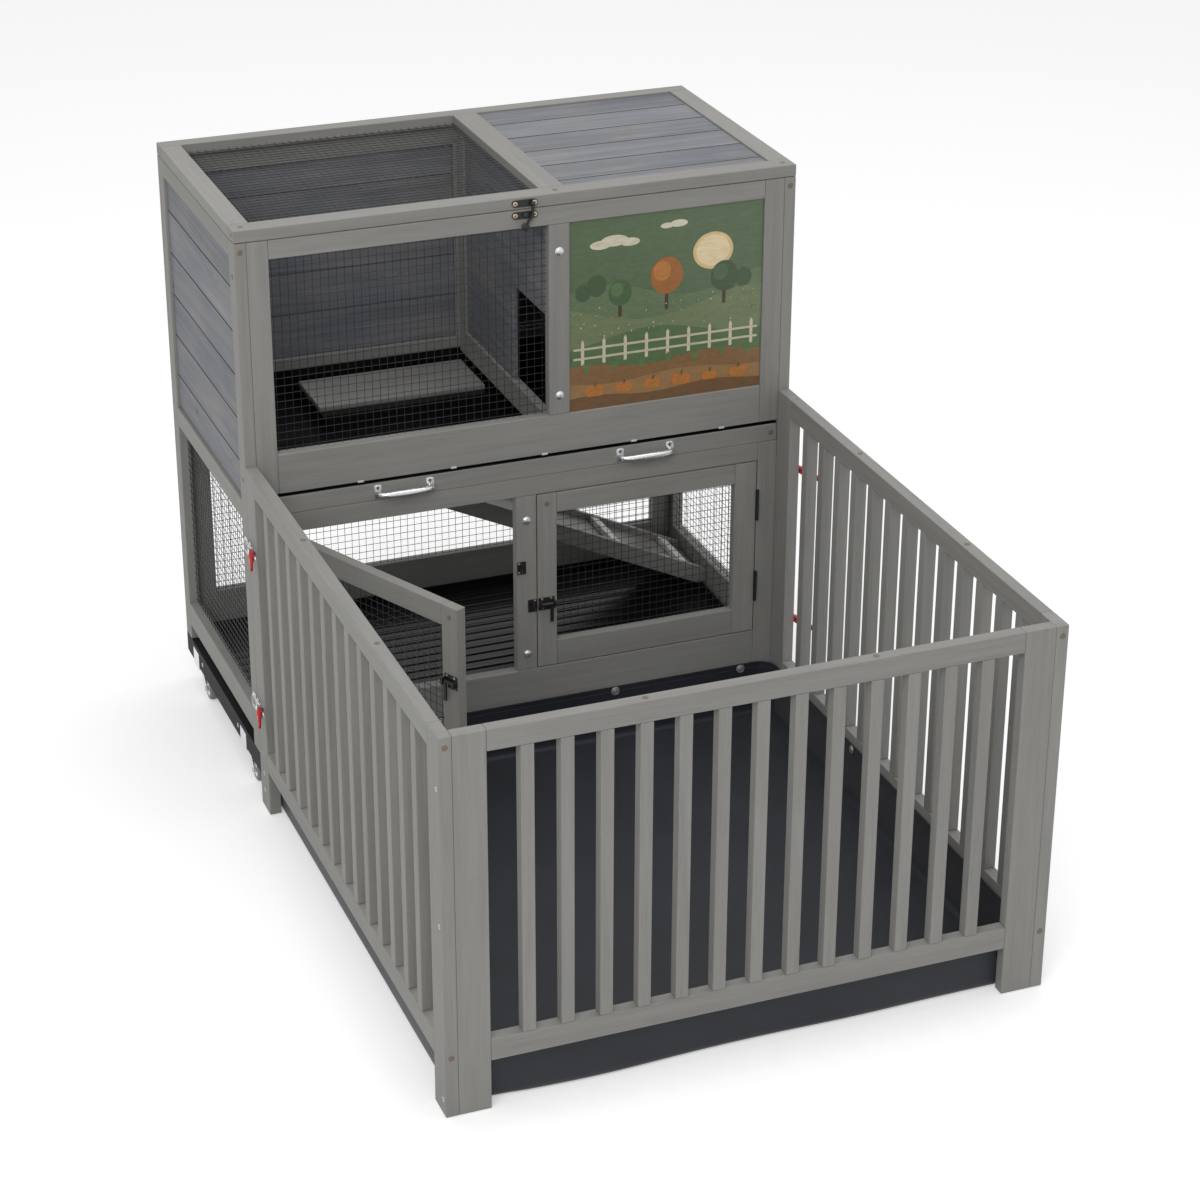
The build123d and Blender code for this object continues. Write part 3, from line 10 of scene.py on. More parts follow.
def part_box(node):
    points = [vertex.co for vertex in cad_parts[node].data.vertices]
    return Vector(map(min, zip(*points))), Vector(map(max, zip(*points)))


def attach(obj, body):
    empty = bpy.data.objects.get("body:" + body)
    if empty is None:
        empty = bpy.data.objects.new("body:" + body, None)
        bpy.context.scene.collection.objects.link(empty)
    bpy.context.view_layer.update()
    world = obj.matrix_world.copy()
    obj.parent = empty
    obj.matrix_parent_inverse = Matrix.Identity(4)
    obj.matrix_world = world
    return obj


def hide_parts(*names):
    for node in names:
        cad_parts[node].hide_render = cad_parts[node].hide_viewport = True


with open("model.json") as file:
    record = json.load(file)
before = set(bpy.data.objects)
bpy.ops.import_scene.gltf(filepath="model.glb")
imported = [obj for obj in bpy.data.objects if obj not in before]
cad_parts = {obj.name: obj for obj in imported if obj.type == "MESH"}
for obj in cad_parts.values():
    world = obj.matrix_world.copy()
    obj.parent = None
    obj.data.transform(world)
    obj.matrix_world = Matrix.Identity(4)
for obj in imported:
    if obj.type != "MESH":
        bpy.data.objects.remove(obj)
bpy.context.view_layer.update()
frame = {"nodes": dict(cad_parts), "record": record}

NODES = frame["nodes"]
BODY_OF = {n: body for body, members in frame["record"]["behaviour"]["bodies"].items() for n in members}
FRONT_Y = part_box("front_frame_upper")[0].y
HALF = 0.4575
BOARD = 0.019
RUN_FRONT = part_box("fence_front")[0].y
FENCE_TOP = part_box("fence_front")[1].z
LID_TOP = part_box("lid_frame")[1].z
DOOR_TURN = math.radians(-64.7)


# Materials
class Shader:
    """A node material around one Principled shader."""

    def __init__(self, name, **sockets):
        self.material = bpy.data.materials.new(name)
        self.material.use_nodes = True
        self.tree = self.material.node_tree
        self.bsdf = self.tree.nodes["Principled BSDF"]
        for key, value in sockets.items():
            self.bsdf.inputs[key.replace("_", " ")].default_value = value

    def add(self, kind, inputs=None, **settings):
        node = self.tree.nodes.new("ShaderNode" + kind)
        for key, value in settings.items():
            setattr(node, key, value)
        for key, value in (inputs or {}).items():
            self.feed(node, key, value)
        return node

    def feed(self, node, key, value):
        if isinstance(value, bpy.types.NodeSocket):
            self.tree.links.new(value, node.inputs[key])
        else:
            node.inputs[key].default_value = value

    def attribute(self, name, output="Vector"):
        return self.add("Attribute", attribute_name=name).outputs[output]

    def stretch(self, vector, scale):
        return self.add("VectorMath", {0: vector, 1: scale}, operation="MULTIPLY").outputs[0]

    def noise(self, vector, scale=1.0, detail=3.0, rough=0.55, distortion=0.0):
        return self.add(
            "TexNoise",
            {"Vector": vector, "Scale": scale, "Detail": detail, "Roughness": rough,
             "Distortion": distortion},
        ).outputs["Fac"]

    def ramp(self, factor, *stops):
        node = self.add("ValToRGB", {"Fac": factor})
        while len(node.color_ramp.elements) < len(stops):
            node.color_ramp.elements.new(0.5)
        for element, (place, colour) in zip(node.color_ramp.elements, stops):
            element.position = place
            element.color = (*colour, 1.0)
        return node.outputs["Color"]

    def math(self, operation, a, b=0.0, c=0.0, clamp=False):
        return self.add("Math", {0: a, 1: b, 2: c}, operation=operation, use_clamp=clamp).outputs[0]

    def mix(self, a, b, factor, blend="MIX"):
        node = self.add("Mix", data_type="RGBA", blend_type=blend)
        for key, value in ((0, factor), (6, a), (7, b)):
            self.feed(node, key, value)
        return node.outputs[2]

    def bump(self, height, strength=0.2, distance=0.0005, normal=None):
        inputs = {"Height": height, "Strength": strength, "Distance": distance}
        if normal is not None:
            inputs["Normal"] = normal
        self.feed(self.bsdf, "Normal", self.add("Bump", inputs).outputs["Normal"])


def frame_wood(name="frame_wood", light=1.0, rough=0.52):
    s = Shader(name, Specular_IOR_Level=0.3)
    grain = s.attribute("grain")
    tone = s.attribute("tone", "Fac")
    broad = s.noise(s.stretch(grain, (3.0, 70.0, 45.0)), 1.0, 4.0, 0.6, 0.6)
    fine = s.noise(s.stretch(grain, (16.0, 520.0, 520.0)), 1.0, 3.0, 0.6)
    cloud = s.noise(s.stretch(grain, (5.0, 11.0, 11.0)), 1.0, 2.0)
    colour = s.ramp(broad, (0.30, (0.242, 0.238, 0.223)), (0.52, (0.268, 0.264, 0.248)),
                    (0.72, (0.287, 0.283, 0.267)))
    pores = s.ramp(fine, (0.34, (0.86, 0.86, 0.86)), (0.50, (1.0, 1.0, 1.0)))
    colour = s.mix(colour, pores, 0.6, "MULTIPLY")
    # light scales the board's brightness; above 1, as on the cleats, it is painted highlight
    shade = s.math("MULTIPLY_ADD", tone, 0.10 * light, 0.95 * light)
    shade = s.math("MULTIPLY", shade, s.math("MULTIPLY_ADD", cloud, 0.10, 0.95))
    colour = s.mix(colour, s.add("CombineColor", {0: shade, 1: shade, 2: shade}).outputs[0], 1.0, "MULTIPLY")
    s.feed(s.bsdf, "Base Color", colour)
    s.feed(s.bsdf, "Roughness", s.math("MULTIPLY_ADD", broad, 0.18, rough))
    s.bump(s.math("ADD", s.math("MULTIPLY", fine, 0.7), broad), 0.22, 0.0004)
    return s.material


def plank_wood():
    s = Shader("plank_wood", Specular_IOR_Level=0.3)
    grain = s.attribute("grain")
    tone = s.attribute("tone", "Fac")
    spots = s.stretch(grain, (4.2, 13.0, 0.0))
    cells = s.add("TexVoronoi", {"Vector": spots, "Scale": 1.0, "Randomness": 1.0},
                  feature="F1", distance="EUCLIDEAN")
    away = cells.outputs["Distance"]
    near = s.math("SUBTRACT", 1.0, s.math("MULTIPLY", away, 3.4), clamp=True)
    bend = s.math("MULTIPLY", s.math("POWER", near, 2.0), 0.022)
    shift = s.add("CombineXYZ", {"Y": bend, "Z": bend}).outputs[0]
    flow = s.add("VectorMath", {0: grain, 1: shift}, operation="ADD").outputs[0]
    broad = s.noise(s.stretch(flow, (2.2, 60.0, 50.0)), 1.0, 5.0, 0.62, 1.2)
    fine = s.noise(s.stretch(flow, (10.0, 420.0, 400.0)), 1.0, 3.0, 0.6)
    cloud = s.noise(s.stretch(grain, (6.0, 9.0, 9.0)), 1.0, 3.0, 0.6)
    colour = s.ramp(broad, (0.28, (0.134, 0.138, 0.150)), (0.47, (0.178, 0.182, 0.195)),
                    (0.60, (0.212, 0.215, 0.226)), (0.78, (0.252, 0.254, 0.262)))
    washed = s.ramp(cloud, (0.35, (0.84, 0.89, 0.96)), (0.65, (1.12, 1.09, 1.06)))
    colour = s.mix(colour, washed, 1.0, "MULTIPLY")
    pores = s.ramp(fine, (0.34, (0.84, 0.84, 0.84)), (0.52, (1.0, 1.0, 1.0)))
    colour = s.mix(colour, pores, 0.7, "MULTIPLY")
    shade = s.math("MULTIPLY_ADD", tone, 0.24, 0.88)
    colour = s.mix(colour, s.add("CombineColor", {0: shade, 1: shade, 2: shade}).outputs[0], 1.0, "MULTIPLY")
    some = s.math("GREATER_THAN", s.add("SeparateColor", {0: cells.outputs["Color"]}).outputs[0], 0.45)
    core = s.math("MULTIPLY", some, s.math("SUBTRACT", 1.0, s.math("MULTIPLY", away, 14.0), clamp=True))
    ring = s.math("MULTIPLY", some, s.math("SUBTRACT", 1.0, s.math("MULTIPLY", away, 7.0), clamp=True))
    colour = s.mix(colour, (0.085, 0.080, 0.080, 1.0), s.math("MULTIPLY", ring, 0.55))
    colour = s.mix(colour, (0.030, 0.028, 0.028, 1.0), s.math("MULTIPLY", core, 1.2, clamp=True))
    s.feed(s.bsdf, "Base Color", colour)
    s.feed(s.bsdf, "Roughness", s.math("MULTIPLY_ADD", broad, 0.2, 0.5))
    s.bump(s.math("ADD", s.math("MULTIPLY", fine, 0.6), broad), 0.25, 0.0004)
    return s.material


def dowel_wood():
    s = Shader("dowel_wood", Specular_IOR_Level=0.25)
    place = s.add("TexCoord").outputs["Object"]
    fleck = s.noise(place, 1800.0, 3.0)
    s.feed(s.bsdf, "Base Color", s.ramp(fleck, (0.35, (0.150, 0.112, 0.086)), (0.65, (0.235, 0.186, 0.148))))
    s.feed(s.bsdf, "Roughness", s.math("MULTIPLY_ADD", fleck, 0.2, 0.55))
    s.bump(fleck, 0.3, 0.0002)
    return s.material


def coated(name, dark, light, rough, scale, metallic=0.0, bevel=0.0004, strength=0.15, distance=0.0002,
           **sockets):
    """Coated metal or moulded plastic: two near colours in a fine mottle, rounded edges."""
    s = Shader(name, Metallic=metallic, **sockets)
    place = s.add("TexCoord").outputs["Object"]
    mottle = s.noise(place, scale, 4.0, 0.6)
    s.feed(s.bsdf, "Base Color", s.ramp(mottle, (0.35, dark), (0.65, light)))
    s.feed(s.bsdf, "Roughness", s.math("MULTIPLY_ADD", mottle, 0.16, rough - 0.08))
    rounded = s.add("Bevel", {"Radius": bevel}, samples=4).outputs[0] if bevel else None
    s.bump(mottle, strength, distance, rounded)
    return s.material


def mat_fabric():
    s = Shader("mat_fabric", Specular_IOR_Level=0.35, Sheen_Weight=0.15, Sheen_Roughness=0.5)
    place = s.attribute("weave")
    threads_a = s.math("SINE", s.math("MULTIPLY", s.add("SeparateXYZ", {0: place}).outputs[0], 5200.0))
    threads_b = s.math("SINE", s.math("MULTIPLY", s.add("SeparateXYZ", {0: place}).outputs[1], 5200.0))
    weave = s.math("MULTIPLY", threads_a, threads_b)
    cloud = s.noise(place, 9.0, 4.0, 0.6)
    dust = s.noise(place, 700.0, 3.0, 0.65)
    colour = s.ramp(cloud, (0.3, (0.0112, 0.0124, 0.0178)), (0.7, (0.0176, 0.0192, 0.0268)))
    specks = s.math("MULTIPLY", s.math("SUBTRACT", dust, 0.5, clamp=True), 1.2)
    colour = s.mix(colour, (0.036, 0.038, 0.048, 1.0), specks)
    s.feed(s.bsdf, "Base Color", colour)
    s.feed(s.bsdf, "Roughness", s.math("MULTIPLY_ADD", cloud, 0.15, 0.46))
    s.bump(s.math("MULTIPLY_ADD", weave, 0.4, dust), 0.25, 0.0002)
    return s.material


def printed_panel():
    s = Shader("printed_panel", Specular_IOR_Level=0.4, Coat_Weight=0.15, Coat_Roughness=0.25)
    place = s.add("TexCoord").outputs["Object"]
    paint = s.attribute("print", "Color")
    brush = s.noise(s.stretch(place, (60.0, 60.0, 190.0)), 1.0, 4.0, 0.65, 0.8)
    grit = s.noise(place, 900.0, 2.0)
    strokes = s.ramp(brush, (0.30, (0.80, 0.80, 0.78)), (0.62, (1.08, 1.07, 1.04)))
    paint = s.mix(paint, strokes, 0.75, "MULTIPLY")
    s.feed(s.bsdf, "Base Color", paint)
    s.feed(s.bsdf, "Roughness", s.math("MULTIPLY_ADD", grit, 0.12, 0.34))
    s.bump(grit, 0.08, 0.0001)
    return s.material


WOOD = frame_wood()
PLANK = plank_wood()
DOWEL = dowel_wood()
PRINT = printed_panel()
RAMP = frame_wood("ramp_wood", 1.0, 0.30)
# The cleats take the frame wood made 2.7 times brighter: painted highlight for the light falling on them.
LIT_CLEAT = frame_wood("cleat_wood_painted_highlight", 2.7, 0.24)
# Near-black for the plank seams: painted shade for the gaps between boards.
SEAM = coated("seam_shade", (0.010, 0.010, 0.012), (0.018, 0.018, 0.021), 0.8, 900.0, bevel=0.0,
              Specular_IOR_Level=0.1)
FABRIC = mat_fabric()
WIRE = coated("net_wire", (0.010, 0.010, 0.011), (0.022, 0.022, 0.024), 0.42, 900.0, bevel=0.0,
              Specular_IOR_Level=0.5)
BLACK = coated("black_metal", (0.012, 0.012, 0.013), (0.026, 0.026, 0.028), 0.36, 1400.0, 0.2)
PLASTIC = coated("black_plastic", (0.0060, 0.0062, 0.0068), (0.0092, 0.0095, 0.0102), 0.20, 380.0,
                 bevel=0.0009, strength=0.10, distance=0.0002, Specular_IOR_Level=0.16)
STRIP = coated("strip_plastic", (0.009, 0.009, 0.010), (0.016, 0.016, 0.017), 0.62, 500.0, bevel=0.001,
               Specular_IOR_Level=0.15)
PALE_DASH = coated("pale_dash", (0.58, 0.58, 0.57), (0.68, 0.68, 0.67), 0.4, 500.0)
BRIGHT = coated("bright_metal", (0.66, 0.66, 0.67), (0.80, 0.80, 0.81), 0.25, 420.0, 0.82)
SNAP = coated("snap_metal", (0.34, 0.34, 0.34), (0.44, 0.44, 0.44), 0.40, 700.0, 0.6)
STEEL = coated("steel", (0.42, 0.41, 0.41), (0.58, 0.57, 0.57), 0.34, 700.0, 1.0)
TAN = coated("plated_steel", (0.46, 0.36, 0.26), (0.62, 0.50, 0.38), 0.36, 900.0, 1.0)
# Dark brown: painted shade in the screws' cross recesses, and the colour of the tray handles' screw heads.
BROWN_AND_RECESS_SHADE = coated("brown_and_recess_shade", (0.060, 0.036, 0.022), (0.105, 0.066, 0.042), 0.5, 900.0, 0.6)
WHEEL = coated("wheel_plastic", (0.16, 0.16, 0.16), (0.22, 0.22, 0.215), 0.5, 420.0, bevel=0.0006)
RED = coated("grip_red", (0.42, 0.012, 0.012), (0.56, 0.022, 0.018), 0.38, 900.0, bevel=0.0008)


# Mesh making
def piece(name, bm, body, *materials, slot=None, replaces=(), smooth=None):
    """Links a bmesh as an object in the row frame, rides it on a body and gives it its finish."""
    bmesh.ops.recalc_face_normals(bm, faces=bm.faces)
    mesh = bpy.data.meshes.new(name)
    bm.to_mesh(mesh)
    bm.free()
    for item in materials:
        mesh.materials.append(item)
    if smooth is not None:
        mesh.polygons.foreach_set("use_smooth", [True] * len(mesh.polygons))
        mesh.set_sharp_from_angle(angle=math.radians(smooth))
    obj = bpy.data.objects.new(name, mesh)
    bpy.context.scene.collection.objects.link(obj)
    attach(obj, body)
    if replaces:
        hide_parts(*replaces)
    return obj


def islands(bm):
    """Lists of vertices, one list for each separate solid."""
    seen = set()
    found = []
    for start in bm.verts:
        if start in seen:
            continue
        seen.add(start)
        queue = [start]
        for vert in queue:
            for edge in vert.link_edges:
                other = edge.other_vert(vert)
                if other not in seen:
                    seen.add(other)
                    queue.append(other)
        found.append(queue)
    return found


def spread(points):
    low = Vector([min(p[i] for p in points) for i in range(3)])
    high = Vector([max(p[i] for p in points) for i in range(3)])
    return low, high


def boards(node, material, slot, edge=0.0011, turn=0.0, seed=1, other=None, pick=None, seam=None):
    """Wooden boards with eased edges in a node's place; grain runs along each board's longest side.
    Boards for which pick(low, high) is true get the other material; seam is the material of the eased edges,
    a near-black painted shade for the gaps between boards."""
    dice = random.Random(seed)
    bm = bmesh.new()
    bm.from_mesh(NODES[node].data)
    bmesh.ops.remove_doubles(bm, verts=bm.verts, dist=1e-5)
    bmesh.ops.dissolve_limit(bm, angle_limit=math.radians(1.0), verts=bm.verts, edges=bm.edges)
    sharp = [e for e in bm.edges if len(e.link_faces) == 2 and e.calc_face_angle() > 0.3]
    eased = bmesh.ops.bevel(bm, geom=sharp, offset=edge, offset_type="OFFSET", segments=1 if seam else 2,
                            profile=0.5, affect="EDGES", clamp_overlap=True)
    # The eased edges take the seam material, painted shade between boards.
    if seam:
        for face in eased["faces"]:
            face.material_index = 2
    grain = bm.verts.layers.float_vector.new("grain")
    tone = bm.verts.layers.float.new("tone")
    back = Matrix.Rotation(-turn, 4, "Z")
    for verts in islands(bm):
        local = [back @ v.co for v in verts]
        low, high = spread(local)
        order = sorted(range(3), key=lambda i: low[i] - high[i])
        offset = Vector((dice.uniform(0, 40), dice.uniform(0, 9), dice.uniform(0, 9)))
        value = dice.random()
        for vert, place in zip(verts, local):
            vert[grain] = Vector([place[i] - low[i] for i in order]) + offset
            vert[tone] = value
            if pick and pick(low, high):
                for face in vert.link_faces:
                    face.material_index = 1
    finishes = (material, other or material, seam) if seam else (material, other or material)
    return piece(node + "_boards", bm, BODY_OF[node], *finishes, slot=slot, replaces=(node,))


def ring(bm, centre, side, up, radius, sides, squash=1.0):
    return [
        bm.verts.new(centre + side * (radius * math.cos(a)) + up * (radius * squash * math.sin(a)))
        for a in (2 * math.pi * k / sides for k in range(sides))
    ]


def bridge(bm, rings, closed=False, caps=True, index=0):
    pairs = list(zip(rings, rings[1:]))
    if closed:
        pairs.append((rings[-1], rings[0]))
    for a, b in pairs:
        for k in range(len(a)):
            j = (k + 1) % len(a)
            bm.faces.new((a[k], a[j], b[j], b[k])).material_index = index
    if caps and not closed:
        bm.faces.new(list(reversed(rings[0]))).material_index = index
        bm.faces.new(rings[-1]).material_index = index


def tube(bm, points, radius, sides=8, closed=False, index=0):
    """A round wire or bar along a line of points; radius may be a list, one for each point."""
    points = [Vector(p) for p in points]
    count = len(points)
    sizes = radius if isinstance(radius, list) else [radius] * count
    heads = []
    for i in range(count):
        before = points[i - 1] if i or closed else points[i]
        after = points[(i + 1) % count] if i < count - 1 or closed else points[i]
        heads.append((after - before).normalized())
    up = heads[0].orthogonal().normalized()
    rings = []
    for place, head, size in zip(points, heads, sizes):
        up = (up - head * up.dot(head)).normalized()
        rings.append(ring(bm, place, head.cross(up), up, size, sides))
    bridge(bm, rings, closed, index=index)


def lathe(bm, origin, axis, profile, sides=20, index=0):
    """A turned piece: profile is (radius, distance along the axis) from its foot to its head."""
    axis = Vector(axis).normalized()
    side = axis.orthogonal().normalized()
    up = axis.cross(side)
    origin = Vector(origin)
    rings = [ring(bm, origin + axis * h, side, up, max(r, 1e-5), sides) for r, h in profile]
    bridge(bm, rings, index=index)


def block(bm, low, high, edge=0.0006, index=0, segments=2):
    """A box with eased edges."""
    low, high = Vector(low), Vector(high)
    made = bmesh.ops.create_cube(bm, size=1.0)["verts"]
    for vert in made:
        vert.co = Vector([low[i] + (vert.co[i] + 0.5) * (high[i] - low[i]) for i in range(3)])
    faces = {f for v in made for f in v.link_faces}
    for face in faces:
        face.material_index = index
    if edge:
        edges = list({e for v in made for e in v.link_edges})
        bmesh.ops.bevel(bm, geom=edges, offset=edge, offset_type="OFFSET", segments=segments, profile=0.5,
                        affect="EDGES", clamp_overlap=True, material=index)


def rounded_rectangle(half_a, half_b, radius, steps=6):
    """Points of a rounded rectangle round the origin, counter-clockwise."""
    points = []
    for cx, cy, start in ((1, 1, 0.0), (-1, 1, 0.5), (-1, -1, 1.0), (1, -1, 1.5)):
        for k in range(steps + 1):
            a = math.pi * (start + 0.5 * k / steps)
            points.append((cx * (half_a - radius) + radius * math.cos(a),
                           cy * (half_b - radius) + radius * math.sin(a)))
    return points


# Boards
SEEDED = (
    "side_frame_left", "side_frame_right", "front_frame_upper", "front_frame_lower", "rear_frame",
    "tray_runners", "lid_frame", "upper_tray_front", "hatch_cover", "lower_tray_front",
    "fence_left", "fence_right", "fence_front", "door_right_frame",
)
for number, node in enumerate(SEEDED):
    boards(node, WOOD, "frame_wood", seed=11 + number)
boards("door_left_frame", WOOD, "frame_wood", turn=DOOR_TURN, seed=41)
boards("lid_planks", PLANK, "plank_wood", edge=0.0006, seed=52, seam=SEAM)
boards("wall_planks", PLANK, "plank_wood", edge=0.0006, seed=51, other=PLASTIC, seam=SEAM,
       pick=lambda low, high: high.z < 0.56 and high.x - low.x > 0.5)
boards("partition", WOOD, "plank_wood", seed=53, other=PLANK, pick=lambda low, high: high.z - low.z > 0.2
       and high.y - low.y > 0.1)
# The narrow cleats get the brightened wood, a painted highlight.
boards("ramp", RAMP, "frame_wood", seed=54, other=LIT_CLEAT, pick=lambda low, high: high.x - low.x < 0.1)


# Welded wire nets, half an inch square
def wire_net(node, turn=0.0, pitch=0.0127, radius=0.00048):
    bm = bmesh.new()
    bm.from_mesh(NODES[node].data)
    bmesh.ops.remove_doubles(bm, verts=bm.verts, dist=1e-5)
    back = Matrix.Rotation(-turn, 4, "Z")
    ahead = back.inverted()
    panels = [spread([back @ v.co for v in verts]) for verts in islands(bm)]
    bm.free()
    bm = bmesh.new()
    for low, high in panels:
        size = high - low
        thin = min(range(3), key=lambda i: size[i])
        first, second = [i for i in range(3) if i != thin]
        middle = (low[thin] + high[thin]) / 2
        for across, along, lift in ((first, second, radius * 0.9), (second, first, -radius * 0.9)):
            count = int((size[across] - 0.002) / pitch)
            start = low[across] + (size[across] - count * pitch) / 2
            for step in range(count + 1):
                ends = []
                for end in (low[along], high[along]):
                    point = Vector((0, 0, 0))
                    point[thin] = middle + lift
                    point[across] = start + step * pitch
                    point[along] = end
                    ends.append(ahead @ point)
                tube(bm, ends, radius, 6)
    return piece(node + "_wires", bm, BODY_OF[node], WIRE, slot="net_wire", replaces=(node,), smooth=60)


for node in ("mesh_upper_window", "mesh_sides", "mesh_rear", "lid_mesh", "door_right_mesh"):
    wire_net(node)
wire_net("door_left_mesh", DOOR_TURN)


# Carried-over nodes with a better finish
def finish_node(node, material):
    mesh = NODES[node].data
    mesh.materials.clear()
    mesh.materials.append(material)


for node in ("lid_hardware", "lid_hook", "hinge_posts", "catch_plates", "door_left_hardware",
             "door_right_hardware", "bolt_rod_left", "bolt_rod_right"):
    finish_node(node, BLACK)
for node in ("upper_tray", "lower_tray"):
    finish_node(node, PLASTIC)
finish_node("base_strips", STRIP)
for node in ("caster_plates", "toggle_bases"):
    finish_node(node, BRIGHT)
for number in range(1, 5):
    finish_node(f"caster_fork_{number}", BRIGHT)


# Generic printed landscape for the upper right panel
def landscape():
    low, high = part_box("picture_panel")
    low_x, high_x, low_z, high_z = low.x, high.x, low.z, high.z
    face_y = low.y
    width, height = high_x - low_x, high_z - low_z
    dice = random.Random(77)
    bm = bmesh.new()
    paint = bm.loops.layers.float_color.new("print")
    depth = [0]

    def flat(points, colour):
        depth[0] += 1
        y = face_y - 0.00002 * depth[0] - 0.0002
        verts = [bm.verts.new((low_x + min(max(u, 0.0), 1.0) * width, y,
                               low_z + min(max(v, 0.0), 1.0) * height))
                 for u, v in points]
        face = bm.faces.new(verts)
        for loop in face.loops:
            loop[paint] = (*colour, 1.0)

    def disc(u, v, radius, colour, tall=1.0, sides=26):
        flat([(u + radius * math.cos(a), v + radius * tall * math.sin(a))
              for a in (2 * math.pi * k / sides for k in range(sides))], colour)

    def hill(base, swell, phase, waves, colour):
        top = [(k / 40, base + swell * math.sin(phase + waves * math.pi * k / 40)) for k in range(41)]
        flat([(0.0, 0.0), (1.0, 0.0)] + list(reversed(top)), colour)

    def bar(u0, v0, u1, v1, wide, colour):
        run = Vector((u1 - u0, v1 - v0)).normalized() * wide
        flat([(u0 - run.y, v0 + run.x), (u1 - run.y, v1 + run.x), (u1 + run.y, v1 - run.x),
              (u0 + run.y, v0 - run.x)], colour)

    flat([(0, 0), (1, 0), (1, 1), (0, 1)], (0.085, 0.125, 0.065))
    flat([(0, 0.48), (1, 0.48), (1, 1), (0, 1)], (0.100, 0.150, 0.080))
    disc(0.74, 0.76, 0.105, (0.72, 0.52, 0.26), 0.93)
    disc(0.74, 0.76, 0.088, (0.80, 0.66, 0.42), 0.93)
    for u, v, r in ((0.16, 0.86, 0.055), (0.23, 0.875, 0.07), (0.31, 0.86, 0.05), (0.50, 0.92, 0.035),
                    (0.56, 0.925, 0.045)):
        disc(u, v, r, (0.66, 0.62, 0.48), 0.42)
    hill(0.60, 0.05, 0.4, 2.2, (0.130, 0.185, 0.100))
    for u, v, r in ((0.07, 0.62, 0.04), (0.14, 0.65, 0.05), (0.90, 0.60, 0.045), (0.83, 0.585, 0.035)):
        disc(u, v, r, (0.060, 0.105, 0.050), 1.15)
    hill(0.50, 0.055, 2.4, 1.8, (0.170, 0.215, 0.110))
    for u, v, r, colour in ((0.50, 0.66, 0.085, (0.34, 0.135, 0.035)),
                            (0.26, 0.60, 0.06, (0.070, 0.125, 0.055)),
                            (0.80, 0.62, 0.07, (0.055, 0.095, 0.045))):
        bar(u, v - 2.1 * r, u, v, 0.009, (0.075, 0.042, 0.022))
        disc(u, v, r, colour, 1.15)
        disc(u - r * 0.28, v + r * 0.3, r * 0.55, tuple(min(1.0, c * 1.45) for c in colour), 1.1)
    hill(0.36, 0.04, 5.2, 2.0, (0.100, 0.165, 0.070))
    for k in range(9):
        u = 0.06 + 0.11 * k
        pale = (0.64, 0.58, 0.44)
        flat([(u, 0.24), (u + 0.016, 0.24), (u + 0.016, 0.36), (u + 0.008, 0.375), (u, 0.36)], pale)
    for v in (0.275, 0.325):
        bar(0.02, v, 0.98, v, 0.006, (0.58, 0.52, 0.39))
    hill(0.22, 0.018, 1.0, 3.0, (0.235, 0.130, 0.055))
    hill(0.14, 0.015, 3.0, 2.6, (0.320, 0.185, 0.080))
    hill(0.06, 0.012, 0.5, 3.2, (0.175, 0.095, 0.042))
    for k in range(7):
        u, v = 0.09 + 0.14 * k, 0.19 + 0.01 * math.sin(3 * k)
        for lean in (-0.5, 0.0, 0.5):
            bar(u, v, u + 0.022 * lean * 1.6, v + 0.055, 0.0045, (0.110, 0.200, 0.075))
    for k in range(6):
        u = 0.13 + 0.15 * k
        r = dice.uniform(0.030, 0.040)
        for lean in (-0.6, 0.6, 0.0):
            disc(u + lean * r, 0.095, r * 0.72, (0.46 + 0.1 * abs(lean), 0.185, 0.045), 1.1, 18)
        bar(u, 0.095 + r * 0.6, u + 0.006, 0.095 + r * 1.25, 0.004, (0.080, 0.110, 0.045))
    for k in range(60):
        disc(dice.uniform(0.02, 0.98), dice.uniform(0.38, 0.55), dice.uniform(0.0025, 0.005),
             dice.choice(((0.62, 0.56, 0.38), (0.50, 0.24, 0.06), (0.30, 0.36, 0.18))), 1.0, 6)
    piece("picture_print", bm, "hutch", PRINT, slot="printed_panel")
    mesh = NODES["picture_panel"].data
    backing = coated("panel_backing", (0.055, 0.080, 0.045), (0.075, 0.105, 0.060), 0.4, 600.0)
    mesh.materials.clear()
    mesh.materials.append(backing)


landscape()


# Turned fixings: domed bolts, snaps, screws and dowel plugs, and five small pale blocks
def dome(bm, origin, axis, radius, height, index=0, sides=20):
    profile = [(radius * 1.0, 0.0), (radius, height * 0.22)]
    for k in range(1, 6):
        a = math.pi / 2 * k / 6
        profile.append((radius * math.cos(a), height * (0.22 + 0.78 * math.sin(a))))
    profile.append((0.00002, height))
    lathe(bm, origin, axis, profile, sides, index)


def screw(bm, origin, axis, radius, height=0.0009, index=0, recess=1):
    """A countersunk head with a shallow dish and a cross recess, drawn as a thin cross block a hair proud of
    its face.
    """
    axis = Vector(axis).normalized()
    origin = Vector(origin)
    lathe(bm, origin, axis, [(radius, 0.0), (radius, height * 0.5), (radius * 0.84, height),
                             (radius * 0.40, height),
                             (radius * 0.30, height * 0.7)], 16, index)
    side = axis.orthogonal().normalized()
    up = axis.cross(side)
    # The cross block takes the recess material; where that is dark brown it is painted shade for the recess.
    for a, b in ((side, up), (up, side)):
        place = origin + axis * height * 1.05
        corners = [place + a * (radius * 0.42 * p) + b * (radius * 0.12 * q)
                   for p, q in ((-1, -1), (1, -1), (1, 1), (-1, 1))]
        foot = [bm.verts.new(c - axis * height * 0.6) for c in corners]
        head = [bm.verts.new(c) for c in corners]
        bridge(bm, [foot, head], index=recess)


